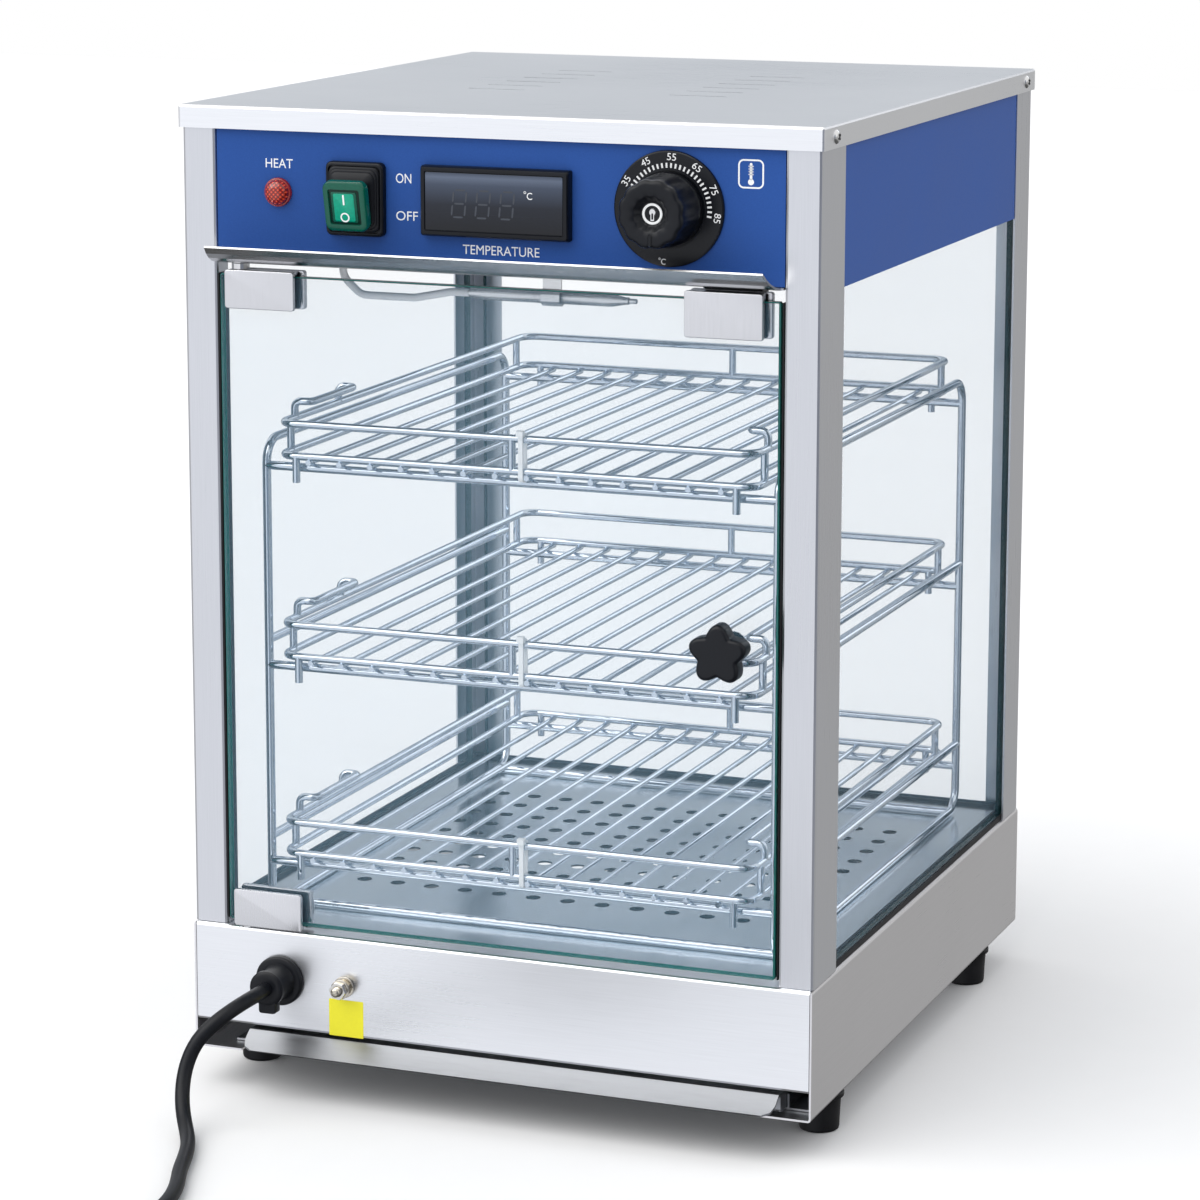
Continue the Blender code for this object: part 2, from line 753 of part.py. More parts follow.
def build_floor():
    half = SEAL_IN - FIT
    outline = rectangle(-half, half, back(FLOOR_FRONT_BACK), back(REAR_SEAL_IN - FIT))
    holes = []
    for column in range(HOLE_COLUMNS):
        x = (column - (HOLE_COLUMNS - 1) / 2) * HOLE_PITCH_X
        for row in range(HOLE_ROWS):
            y = back(HOLE_FIRST_BACK + row * HOLE_PITCH_Y)
            holes.append(circle((x, y), HOLE_DIAMETER, HOLE_SIDES))
    extruded("floor_plate", outline, "Z", FLOOR_BOTTOM, FLOOR_TOP, STEEL, holes)


# Feet: moulded rubber, screwed up under the side flanges

def build_feet():
    profile = [(0.0, BASE_BOTTOM - FIT), (FOOT_RIM_DIAMETER / 2, BASE_BOTTOM - FIT),
               (FOOT_RIM_DIAMETER / 2, BASE_BOTTOM - FIT - FOOT_RIM),
               (FOOT_TOP_DIAMETER / 2, BASE_BOTTOM - FIT - FOOT_RIM - FOOT_CHAMFER),
               (FOOT_BOTTOM_DIAMETER / 2, FOOT_CHAMFER), (FOOT_BOTTOM_DIAMETER / 2 - FOOT_CHAMFER, 0.0),
               (FOOT_RECESS_DIAMETER / 2, 0.0), (FOOT_RECESS_DIAMETER / 2, FOOT_RECESS), (0.0, FOOT_RECESS)]
    rows = (("front", FOOT_FRONT_BACK), ("rear", BODY_DEPTH - FOOT_REAR_MARGIN))
    for row, depth in rows:
        for side, sign in (("left", -1), ("right", 1)):
            place = (sign * (HALF - FOOT_INSET), back(depth), 0.0)
            turned(f"foot_{row}_{side}", profile, FOOT_STEPS, place, "Z", RUBBER)


# Ceiling of the chamber: it ends in a flared lip under the control panel

def build_ceiling():
    half = POST_INNER - FIT
    wide = SEAL_IN + SEAL_WALL
    jamb_back = POST_SET + JAMB + FIT
    sweep = 2 * math.atan2(LIP_RISE, LIP_REACH)
    bend = LIP_REACH / math.sin(sweep)
    rows = []
    for step in range(LIP_STEPS + 1):
        angle = sweep * (1 - step / LIP_STEPS)
        y = POST_SET - bend * math.sin(angle)
        z = CEILING_HEIGHT + bend * (1 - math.cos(angle))
        rows.append((y, z, half - LIP_MITRE * (1 - step / LIP_STEPS)))
    rows += [(jamb_back, CEILING_HEIGHT, half), (jamb_back + SHEET, CEILING_HEIGHT, wide),
             (REAR_SEAL_IN + SEAL_WALL, CEILING_HEIGHT, wide)]
    mesh = bpy.data.meshes.new("ceiling_plate")
    points = []
    for depth, height, reach in rows:
        points += [(-reach, back(depth), height), (reach, back(depth), height)]
    faces = [(2 * k, 2 * k + 1, 2 * k + 3, 2 * k + 2) for k in range(len(rows) - 1)]
    mesh.from_pydata(points, [], faces)
    plate = link("ceiling_plate", mesh, STEEL)
    wall = plate.modifiers.new("sheet", "SOLIDIFY")
    wall.thickness = SHEET
    wall.offset = 1.0
    wall.use_even_offset = True
    profile = [(0.0, CUT_OVERRUN), (LEAD_HOLE / 2, CUT_OVERRUN),
               (LEAD_HOLE / 2, -SHEET - CUT_OVERRUN), (0.0, -SHEET - CUT_OVERRUN)]
    lead_hole = turned("lead_hole", profile, PIN_STEPS,
                       (LEAD_EXIT, back(PROBE_BACK), CEILING_HEIGHT + SHEET), "Z", parts=False)
    cut(plate, lead_hole)


# Control panel and the bands round the top of the case

def build_panels():
    half = POST_INNER - FIT
    bottom = CEILING_HEIGHT + SHEET + FIT
    top = LID_UNDER - FIT
    holes = [circle((LAMP_CENTRE, LAMP_HEIGHT), LAMP_BODY_DIAMETER + 2 * FIT, PIN_STEPS),
             rectangle(SWITCH_CENTRE - SWITCH_BODY_WIDTH / 2 - FIT, SWITCH_CENTRE + SWITCH_BODY_WIDTH / 2 + FIT,
                       SWITCH_HEIGHT - SWITCH_BODY_TALL / 2 - FIT, SWITCH_HEIGHT + SWITCH_BODY_TALL / 2 + FIT),
             rectangle(METER_CENTRE - METER_BODY_WIDTH / 2 - FIT, METER_CENTRE + METER_BODY_WIDTH / 2 + FIT,
                       METER_HEIGHT - METER_BODY_TALL / 2 - FIT, METER_HEIGHT + METER_BODY_TALL / 2 + FIT),
             circle((DIAL_CENTRE, DIAL_HEIGHT), SHAFT_HOLE, PIN_STEPS)]
    extruded("control_panel", rectangle(-half, half, bottom, top), "Y", back(PANEL_BACK),
             back(PANEL_BACK + PANEL_THICKNESS), BLUE, holes)
    front_end = POST_SET + FRONT_POST_SIDE + FIT
    rear_end = REAR_POST_BACK - REAR_POST_SIDE - FIT
    out = HALF - BAND_SET
    side = rectangle(back(front_end), back(rear_end), BAND_BOTTOM, top)
    extruded("side_band_left", side, "X", -out, -out + PANEL_THICKNESS, BLUE)
    extruded("side_band_right", side, "X", out - PANEL_THICKNESS, out, BLUE)
    rear = rectangle(-half, half, BAND_BOTTOM, top)
    rear_back = REAR_POST_BACK - BAND_SET
    extruded("rear_band", rear, "Y", back(rear_back - PANEL_THICKNESS), back(rear_back), BLUE)


# Fixed glass, standing in one U-shaped rubber seal that runs round three sides

def build_glazing():
    front_end = POST_SET + FRONT_POST_SIDE - GLASS_LAP
    rear_end = REAR_POST_BACK - REAR_POST_SIDE + GLASS_LAP
    top = BAND_BOTTOM + GLASS_UNDERLAP
    for name, sign in (("left", -1), ("right", 1)):
        ends = sorted((sign * SIDE_GLASS_OUT, sign * (SIDE_GLASS_OUT - GLASS)))
        pane = block(f"side_glass_{name}", (ends[0], back(front_end), GLASS_BOTTOM),
                     (ends[1], back(rear_end), top), CLEAR)
        bevelled(pane, GLASS_EDGE)
    half = POST_INNER + GLASS_LAP
    pane = block("rear_glass", (-half, back(REAR_GLASS_BACK - GLASS), GLASS_BOTTOM),
                 (half, back(REAR_GLASS_BACK), top), CLEAR)
    bevelled(pane, GLASS_EDGE)

    def ring(out, rear, width):
        inner = out - width
        return [(-out, back(front_end)), (-inner, back(front_end)), (-inner, back(rear - width)),
                (inner, back(rear - width)), (inner, back(front_end)), (out, back(front_end)),
                (out, back(rear)), (-out, back(rear))]

    rear_out = REAR_GLASS_BACK + FIT + SEAL_WALL
    seal = as_mesh(extruded("glass_seal", ring(SEAL_OUT, rear_out, SEAL_WIDTH), "Z", FLOOR_BOTTOM,
                            FLOOR_BOTTOM + SEAL_HEIGHT, RUBBER), keep_in_parts=True)
    groove = ring(SEAL_OUT - SEAL_WALL, rear_out - SEAL_WALL, SEAL_WIDTH - 2 * SEAL_WALL)
    groove = [(x, y - CUT_OVERRUN if y == back(front_end) else y) for x, y in groove]
    cutter = extruded("seal_groove", groove, "Z", FLOOR_BOTTOM + SEAL_FLOOR,
                      FLOOR_BOTTOM + SEAL_HEIGHT + CUT_OVERRUN, parts=False)
    cut(seal, as_mesh(cutter))


# Crumb tray with its pull lip, and the two rails on the side flanges

def build_tray():
    flange_top = BASE_BOTTOM + SHEET
    rail_bottom = flange_top + FIT
    tray_bottom = rail_bottom + SHEET + FIT
    front = TRAY_FRONT_BACK
    rear = front + TRAY_DEPTH
    path = [(back(front - TRAY_LIP_REACH), TRAY_TOP - TRAY_LIP_DROP), (back(front), TRAY_TOP),
            (back(front), tray_bottom), (back(rear), tray_bottom), (back(rear), TRAY_TOP)]
    body = extruded("tray_body", folded(path, TRAY_SHEET), "X", TRAY_LEFT, TRAY_RIGHT, STEEL, parts=False)
    middle = (tray_bottom + TRAY_TOP) / 2
    side_outline = rectangle(back(front + TRAY_SHEET / 2), back(rear - TRAY_SHEET / 2),
                             tray_bottom + TRAY_SHEET / 2, 2 * middle - tray_bottom - 2 * TRAY_SHEET)
    sides = [extruded("tray_side_a", side_outline, "X", TRAY_LEFT + MERGE, TRAY_LEFT + TRAY_SHEET, parts=False),
             extruded("tray_side_b", side_outline, "X", TRAY_RIGHT - TRAY_SHEET, TRAY_RIGHT - MERGE, parts=False)]
    tray = fused("crumb_tray", [body, *sides], STEEL)
    tip_y = back(front - TRAY_LIP_REACH)
    for name, x, sign in (("left", TRAY_LEFT, 1), ("right", TRAY_RIGHT, -1)):
        corner = [(x - sign * CUT_OVERRUN, tip_y - CUT_OVERRUN),
                  (x + sign * TRAY_LIP_CORNER, tip_y - CUT_OVERRUN), (x + sign * TRAY_LIP_CORNER, tip_y),
                  (x + sign * TRAY_LIP_CORNER * 0.3, tip_y + TRAY_LIP_CORNER * 0.3),
                  (x, tip_y + TRAY_LIP_CORNER), (x - sign * CUT_OVERRUN, tip_y + TRAY_LIP_CORNER)]
        if sign < 0:
            corner = corner[::-1]
        cutter = extruded(f"lip_corner_{name}", corner, "Z", TRAY_TOP - 2 * TRAY_LIP_DROP, TRAY_TOP + CUT_OVERRUN,
                          parts=False)
        cut(tray, as_mesh(cutter))
    for name, x, sign in (("left", TRAY_LEFT, -1), ("right", TRAY_RIGHT, 1)):
        face = x + sign * RAIL_PLAY
        far = face + sign * SHEET
        points = [(face - sign * RAIL_WING_IN, rail_bottom), (far + sign * RAIL_WING_OUT, rail_bottom),
                  (far + sign * RAIL_WING_OUT, rail_bottom + SHEET), (far, rail_bottom + SHEET),
                  (far, rail_bottom + RAIL_RISE), (face, rail_bottom + RAIL_RISE), (face, rail_bottom + SHEET),
                  (face - sign * RAIL_WING_IN, rail_bottom + SHEET)]
        if sign < 0:
            points = points[::-1]
        extruded(f"tray_rail_{name}", points, "Y", back(RAIL_FRONT_BACK), back(RAIL_FRONT_BACK + RAIL_LENGTH), STEEL)


# Tubular heating element on its cross bracket, under the perforated floor

def build_heater():
    legs = [ELEMENT_LEG_PITCH * (k - 1.5) for k in range(4)]
    front = back(ELEMENT_FRONT_BACK)
    rear = back(BODY_DEPTH - ELEMENT_REAR_MARGIN)
    corners = [(legs[0], back(ELEMENT_TAIL_BACK)), (legs[0], rear), (legs[1], rear), (legs[1], front),
               (legs[2], front), (legs[2], rear), (legs[3], rear), (legs[3], back(ELEMENT_TAIL_BACK))]
    path = rounded([(x, y, ELEMENT_HEIGHT) for x, y in corners], ELEMENT_LEG_PITCH / 2, 5)
    rod("heating_element", path, ELEMENT_DIAMETER, STEEL, parts=True)
    inner = WALL - FIT
    top = ELEMENT_HEIGHT - ELEMENT_DIAMETER / 2 - FIT
    near = back(BRACKET_BACK - BRACKET_WIDTH / 2)
    far = back(BRACKET_BACK + BRACKET_WIDTH / 2)
    path = [(near, top - BRACKET_FLANGE), (near, top), (far, top), (far, top - BRACKET_FLANGE)]
    extruded("heater_bracket", folded(path, -SHEET), "X", -inner, inner, STEEL)


# Terminal block inside the base and the wiring loom that climbs inside the left front post

def build_wiring():
    front = back(SHEET + FIT)
    low = (TERMINAL_CENTRE - TERMINAL_WIDTH / 2, front, TERMINAL_BOTTOM)
    high = (TERMINAL_CENTRE + TERMINAL_WIDTH / 2, front + TERMINAL_DEPTH, TERMINAL_BOTTOM + TERMINAL_HEIGHT)
    terminal = block("terminal_block", low, high, WHITE)
    way = TERMINAL_WIDTH / TERMINAL_WAYS
    for k in range(1, TERMINAL_WAYS):
        x = low[0] + k * way
        notch = block(f"terminal_notch_{k}",
                      (x - TERMINAL_NOTCH / 4, high[1] - TERMINAL_NOTCH, low[2] - CUT_OVERRUN),
                      (x + TERMINAL_NOTCH / 4, high[1] + CUT_OVERRUN, high[2] + CUT_OVERRUN), parts=False)
        cut(terminal, notch)
    rise_x = -HALF + LOOM_EDGE_MARGIN
    height = TERMINAL_BOTTOM + TERMINAL_HEIGHT / 2
    body_side = DIAL_CENTRE - THERMOSTAT_WIDTH / 2 - FIT
    run = back(LOOM_RUN_BACK)
    inside = back(PANEL_BACK + PANEL_THICKNESS + THERMOSTAT_DEPTH / 2)
    points = [(low[0] - FIT, back(LOOM_BACK) - TERMINAL_DEPTH / 2, height),
              (low[0] - LOOM_RUN_BACK / 2, back(LOOM_BACK), height), (rise_x, back(LOOM_BACK), height),
              (rise_x, back(LOOM_BACK), LOOM_RUN_HEIGHT), (rise_x + LOOM_RUN_BACK, run, LOOM_RUN_HEIGHT),
              (body_side - LOOM_RUN_BACK / 2, run, LOOM_RUN_HEIGHT),
              (body_side - LOOM_BEND, inside, DIAL_HEIGHT), (body_side, inside, DIAL_HEIGHT)]
    rod("wiring_loom", rounded(points, LOOM_BEND, 4), LOOM_DIAMETER, WHITE, parts=True)


# Indicator lamp, rocker switch, thermometer and thermostat on the control panel

def build_lamp():
    radius = LAMP_DIAMETER / 2
    profile = [(0.0, LAMP_REACH), (radius * 0.62, LAMP_REACH * 0.92), (radius * 0.9, LAMP_REACH * 0.62),
               (radius, LAMP_REACH * 0.3), (radius, 0.0), (LAMP_BODY_DIAMETER / 2, 0.0),
               (LAMP_BODY_DIAMETER / 2, -LAMP_BODY_LENGTH), (0.0, -LAMP_BODY_LENGTH)]
    turned("heat_lamp", profile, PIN_STEPS, (LAMP_CENTRE, back(PANEL_BACK - FIT), LAMP_HEIGHT), "-Y", RED)


def centred(centre, height, width, tall, corner=0.0, steps=2):
    """Rectangle round a place on the panel."""
    return rectangle(centre - width / 2, centre + width / 2, height - tall / 2, height + tall / 2, corner, steps)


def build_switch():
    face = PANEL_BACK - FIT
    rim = extruded("switch_rim", centred(SWITCH_CENTRE, SWITCH_HEIGHT, SWITCH_WIDTH, SWITCH_TALL, SWITCH_CORNER),
                   "Y", back(face - SWITCH_RIM), back(face), PLASTIC, parts=False)
    body = extruded("switch_body", centred(SWITCH_CENTRE, SWITCH_HEIGHT, SWITCH_BODY_WIDTH, SWITCH_BODY_TALL),
                    "Y", back(face - SWITCH_RIM / 2), back(face + SWITCH_BODY_DEPTH), PLASTIC, parts=False)
    boot = extruded("switch_boot", centred(SWITCH_CENTRE, SWITCH_HEIGHT, BOOT_WIDTH * 0.8, BOOT_TALL * 0.5,
                                           SWITCH_CORNER),
                    "Y", back(face - SWITCH_RIM - BOOT_REACH * 0.5), back(face - SWITCH_RIM / 2), PLASTIC,
                    parts=False)
    pivot_y = back(face - SWITCH_RIM - BOOT_REACH + ROCKER_PIVOT_DEPTH)
    knuckle = ROCKER_PIVOT_DEPTH - FIT
    arc = [(pivot_y - knuckle * math.cos(turn), SWITCH_HEIGHT - knuckle * math.sin(turn))
           for turn in (math.pi / 2 - math.pi * k / 6 for k in range(7))]
    stem = [*arc, (back(face - SWITCH_RIM), SWITCH_HEIGHT + knuckle), (back(face - SWITCH_RIM), SWITCH_HEIGHT - knuckle)]
    rib = extruded("switch_rib", stem, "X", SWITCH_CENTRE - BOOT_WIDTH / 4, SWITCH_CENTRE + BOOT_WIDTH / 4,
                   PLASTIC, parts=False)
    fused("switch_housing", [rim, body, boot, rib], PLASTIC)
    outline = centred(0.0, 0.0, ROCKER_WIDTH, ROCKER_TALL, ROCKER_CORNER, 3)
    cap = extruded("rocker_cap", outline, "Y", -ROCKER_PIVOT_DEPTH - ROCKER_THICKNESS, -ROCKER_PIVOT_DEPTH, GREEN,
                   parts=False)
    cap = as_mesh(cap)
    window = extruded("rocker_window", centred(0.0, 0.0, ROCKER_WINDOW_WIDTH, ROCKER_WINDOW_TALL), "Y",
                      -ROCKER_PIVOT_DEPTH - ROCKER_THICKNESS - CUT_OVERRUN,
                      -ROCKER_PIVOT_DEPTH - ROCKER_THICKNESS + ROCKER_WINDOW_DEPTH, parts=False)
    window = as_mesh(window)
    cut(cap, window)
    solid = as_mesh(cap)
    bpy.data.objects.remove(window, do_unlink=True)
    mesh = solid.data
    mesh.transform(solid.matrix_world)
    bpy.data.objects.remove(solid, do_unlink=True)
    rocker = link("switch_rocker", mesh, GREEN)
    rocker.location = (SWITCH_CENTRE, pivot_y, SWITCH_HEIGHT)
    rocker.rotation_euler = (ROCKER_TILT, 0.0, 0.0)


def build_thermometer():
    face = PANEL_BACK - FIT
    bezel = extruded("meter_bezel", centred(METER_CENTRE, METER_HEIGHT, METER_WIDTH, METER_TALL, METER_CORNER),
                     "Y", back(face - METER_REACH), back(face), PLASTIC, parts=False)
    body = extruded("meter_body", centred(METER_CENTRE, METER_HEIGHT, METER_BODY_WIDTH, METER_BODY_TALL), "Y",
                    back(face - METER_REACH / 2), back(face + METER_BODY_DEPTH), PLASTIC, parts=False)
    housing = fused("thermometer_housing", [bezel, body], PLASTIC)
    wide = METER_WIDTH - 2 * METER_FRAME
    tall = METER_TALL - 2 * METER_FRAME
    pocket = extruded("meter_pocket", centred(METER_CENTRE, METER_HEIGHT, wide, tall), "Y",
                      back(face - METER_REACH - CUT_OVERRUN),
                      back(face - METER_REACH + METER_WINDOW_THICKNESS + 2 * FIT), parts=False)
    cut(housing, as_mesh(pocket))
    window = centred(METER_CENTRE, METER_HEIGHT, wide - 2 * FIT, tall - 2 * FIT)
    extruded("thermometer_window", window, "Y", back(face - METER_REACH + FIT),
             back(face - METER_REACH + FIT + METER_WINDOW_THICKNESS), PLASTIC)


def build_thermostat():
    rear = back(PANEL_BACK + PANEL_THICKNESS + FIT)
    low = (DIAL_CENTRE - THERMOSTAT_WIDTH / 2, rear + THERMOSTAT_BOSS, DIAL_HEIGHT - THERMOSTAT_TALL / 2)
    high = (DIAL_CENTRE + THERMOSTAT_WIDTH / 2, rear + THERMOSTAT_DEPTH, DIAL_HEIGHT + THERMOSTAT_TALL / 2)
    body = block("thermostat_case", low, high, parts=False)
    front = rear - back(KNOB_START) + SHAFT_ENTRY
    profile = [(0.0, front), (SHAFT_DIAMETER / 2, front), (SHAFT_DIAMETER / 2, 0.0),
               (THERMOSTAT_BOSS_DIAMETER / 2, 0.0), (THERMOSTAT_BOSS_DIAMETER / 2, -2 * THERMOSTAT_BOSS),
               (0.0, -2 * THERMOSTAT_BOSS)]
    boss = turned("thermostat_shaft", profile, PIN_STEPS, (DIAL_CENTRE, rear, DIAL_HEIGHT), "-Y", parts=False)
    fused("thermostat_body", [body, boss], STEEL)
    disc = DIAL_DIAMETER / 2
    ring = DIAL_RING_DIAMETER / 2
    bore = SHAFT_HOLE / 2
    profile = [(bore, DIAL_THICKNESS - DIAL_RING_RISE), (ring - DIAL_RING_RISE, DIAL_THICKNESS - DIAL_RING_RISE),
               (ring, DIAL_THICKNESS), (disc - DIAL_RING_RISE, DIAL_THICKNESS - DIAL_RING_RISE),
               (disc, 0.0), (bore, 0.0), (bore, DIAL_THICKNESS - DIAL_RING_RISE)]
    turned("dial_plate", profile, DIAL_STEPS, (DIAL_CENTRE, back(PANEL_BACK - FIT), DIAL_HEIGHT), "-Y", PLASTIC)


def build_knob():
    outer = KNOB_DIAMETER / 2
    front = KNOB_FRONT_DIAMETER / 2
    bore = SHAFT_DIAMETER / 2 + SHAFT_CLEARANCE
    tip = KNOB_LENGTH
    profile = [(0.0, tip - KNOB_RECESS), (KNOB_RECESS_FLOOR_DIAMETER / 2, tip - KNOB_RECESS),
               (KNOB_RECESS_DIAMETER / 2, tip), (front - KNOB_EDGE, tip), (front, tip - KNOB_EDGE),
               (outer - KNOB_EDGE, KNOB_FLUTE_START), (outer, KNOB_FLUTE_START - KNOB_EDGE), (outer, 0.0),
               (bore, 0.0), (bore, SHAFT_ENTRY + FIT), (0.0, SHAFT_ENTRY + FIT)]
    knob = turned("thermostat_knob", profile, KNOB_STEPS, (DIAL_CENTRE, back(KNOB_START), DIAL_HEIGHT), "-Y",
                  PLASTIC)
    flute_radius = outer * math.sin(math.pi / KNOB_LOBES) * 1.6
    for lobe in range(KNOB_LOBES):
        angle = TURN * (lobe + 0.5) / KNOB_LOBES
        reach = front + flute_radius - KNOB_FLUTE_DEPTH
        place = (DIAL_CENTRE + reach * math.cos(angle), back(KNOB_START), DIAL_HEIGHT + reach * math.sin(angle))
        profile = [(0.0, tip + CUT_OVERRUN), (flute_radius, tip + CUT_OVERRUN),
                   (flute_radius, KNOB_FLUTE_START), (0.0, KNOB_FLUTE_START)]
        cut(knob, turned(f"flute_{lobe}", profile, PIN_STEPS // 2, place, "-Y", parts=False))
    pointer = block("pointer_cut",
                    (DIAL_CENTRE - POINTER_WIDTH / 2, back(KNOB_START - tip - CUT_OVERRUN),
                     DIAL_HEIGHT - outer - CUT_OVERRUN),
                    (DIAL_CENTRE + POINTER_WIDTH / 2, back(KNOB_START - tip + POINTER_DEPTH),
                     DIAL_HEIGHT - KNOB_RECESS_DIAMETER / 2 - POINTER_WIDTH), parts=False)
    cut(knob, pointer)


# Temperature probe under the ceiling, with its lead and clip

def build_probe():
    radius = PROBE_DIAMETER / 2
    neck = PROBE_NECK_DIAMETER / 2
    length = PROBE_RIGHT - PROBE_LEFT
    profile = [(0.0, length), (neck, length), (neck, length - PROBE_TIP), (radius, length - PROBE_TIP - PROBE_TAPER),
               (radius, PROBE_TAPER), (LEAD_DIAMETER / 2, 0.0), (0.0, 0.0)]
    turned("sensor_probe", profile, PIN_STEPS, (PROBE_LEFT, back(PROBE_BACK), PROBE_HEIGHT), "X", STEEL)
    low = PROBE_HEIGHT - LEAD_DIAMETER
    y = back(PROBE_BACK)
    bend = LEAD_SAG * 0.45
    points = [(LEAD_EXIT + LEAD_SAG, y, LEAD_RUN_HEIGHT), (LEAD_EXIT, y, LEAD_RUN_HEIGHT),
              (LEAD_EXIT, y, PROBE_HEIGHT + LEAD_SAG / 4),
              (LEAD_EXIT + LEAD_SAG / 2, y, low), (LEAD_EXIT + 2 * LEAD_SAG, y, low),
              (PROBE_LEFT - LEAD_SAG / 2, y, PROBE_HEIGHT), (PROBE_LEFT - FIT, y, PROBE_HEIGHT)]
    rod("sensor_lead", rounded(points, bend, 4), LEAD_DIAMETER, WHITE, parts=True)
    gap = radius + FIT
    outer = gap + CLIP_SHEET
    arc = [(y + outer * math.cos(TURN * (0.25 + k / 16)), PROBE_HEIGHT + outer * math.sin(TURN * (0.25 + k / 16)))
           for k in range(1, 13)]
    under = CEILING_HEIGHT - FIT - CLIP_SHEET
    path = [(y - CLIP_FOOT, under), (y - outer * 0.25, under), (y - outer * 0.25, PROBE_HEIGHT + outer * 0.97)]
    strap = folded([*path, *arc], CLIP_SHEET, 0.0)
    extruded("probe_clip", strap, "X", CLIP_CENTRE - CLIP_WIDTH / 2, CLIP_CENTRE + CLIP_WIDTH / 2, STEEL)


# Door: a glass pane on two pivot clamps, with a catch clip and a star knob

def clamp(name, left, length, web, height, at_top, edge, material=CHROME):
    """U-shaped clip over the top or bottom edge of the glass."""
    glass_front = DOOR_FRONT_BACK
    glass_rear = DOOR_FRONT_BACK + DOOR_GLASS
    y0 = back(glass_front - FIT - CLAMP_FRONT_REACH)
    y1 = back(glass_rear + FIT + CLAMP_REAR_REACH)
    up = 1 if at_top else -1
    outer = edge + up * (FIT + web)
    inner = edge + up * FIT
    tip = outer - up * height
    points = [(y0, tip), (back(glass_front - FIT), tip), (back(glass_front - FIT), inner),
              (back(glass_rear + FIT), inner), (back(glass_rear + FIT), tip), (y1, tip), (y1, outer), (y0, outer)]
    if not at_top:
        points = points[::-1]
    return extruded(name, points, "X", left, left + length, material)


def build_door():
    left = -POST_INNER + DOOR_EDGE_GAP
    glass = block("door_glass", (left, back(DOOR_FRONT_BACK), DOOR_BOTTOM),
                  (-left, back(DOOR_FRONT_BACK + DOOR_GLASS), DOOR_TOP), CLEAR)
    bevelled(glass, DOOR_EDGE)
    hole = turned("stud_hole", [(0.0, CUT_OVERRUN), (STUD_HOLE / 2, CUT_OVERRUN),
                                (STUD_HOLE / 2, -DOOR_GLASS - CUT_OVERRUN), (0.0, -DOOR_GLASS - CUT_OVERRUN)],
                  PIN_STEPS, (STAR_CENTRE, back(DOOR_FRONT_BACK), STAR_HEIGHT), "-Y", parts=False)
    cut(glass, hole)
    pivot_x = left + PIVOT_INSET
    pivot_y = back(DOOR_FRONT_BACK + DOOR_GLASS / 2)
    bore = PIN_DIAMETER / 2 + PIN_CLEARANCE
    for name, at_top, edge in (("top", True, DOOR_TOP), ("bottom", False, DOOR_BOTTOM)):
        plate = as_mesh(clamp(f"hinge_clamp_{name}", CLAMP_LEFT, CLAMP_LENGTH, CLAMP_WEB, CLAMP_HEIGHT, at_top, edge),
                        keep_in_parts=True)
        up = 1 if at_top else -1
        middle = edge + up * (FIT + CLAMP_WEB / 2)
        reach = CLAMP_WEB / 2 + FIT + CUT_OVERRUN / 4
        profile = [(0.0, reach), (bore, reach), (bore, -reach), (0.0, -reach)]
        cut(plate, turned(f"pivot_bore_{name}", profile, PIN_STEPS, (pivot_x, pivot_y, middle), "Z", parts=False))
    clamp("catch_clip", CATCH_LEFT, CATCH_LENGTH, CATCH_WEB, CATCH_HEIGHT, True, DOOR_TOP)
    radius = PIN_DIAMETER / 2
    collar = PIN_COLLAR_DIAMETER / 2
    clamp_top = DOOR_TOP + FIT + CLAMP_WEB
    profile = [(0.0, CEILING_HEIGHT - FIT), (collar, CEILING_HEIGHT - FIT), (collar, clamp_top + FIT),
               (radius, clamp_top + FIT), (radius, clamp_top - PIN_ENTRY), (0.0, clamp_top - PIN_ENTRY)]
    turned("pivot_pin_top", profile, PIN_STEPS, (pivot_x, pivot_y, 0.0), "Z", STEEL)
    clamp_bottom = DOOR_BOTTOM - FIT - CLAMP_WEB
    profile = [(0.0, clamp_bottom + PIN_ENTRY), (radius, clamp_bottom + PIN_ENTRY), (radius, clamp_bottom - FIT),
               (collar, clamp_bottom - FIT), (collar, BASE_TOP + FIT), (0.0, BASE_TOP + FIT)]
    turned("pivot_pin_bottom", profile, PIN_STEPS, (pivot_x, pivot_y, 0.0), "Z", STEEL)
    middle = CATCH_LEFT + CATCH_LENGTH / 2
    front = back(DOOR_FRONT_BACK + DOOR_GLASS + 2 * FIT + CLAMP_REAR_REACH)
    magnet = block("magnet_catch", (middle - MAGNET_WIDTH / 2, front, CEILING_HEIGHT - FIT - MAGNET_HEIGHT),
                   (middle + MAGNET_WIDTH / 2, front + MAGNET_DEPTH, CEILING_HEIGHT - FIT), PLASTIC)
    bevelled(magnet, MAGNET_EDGE)


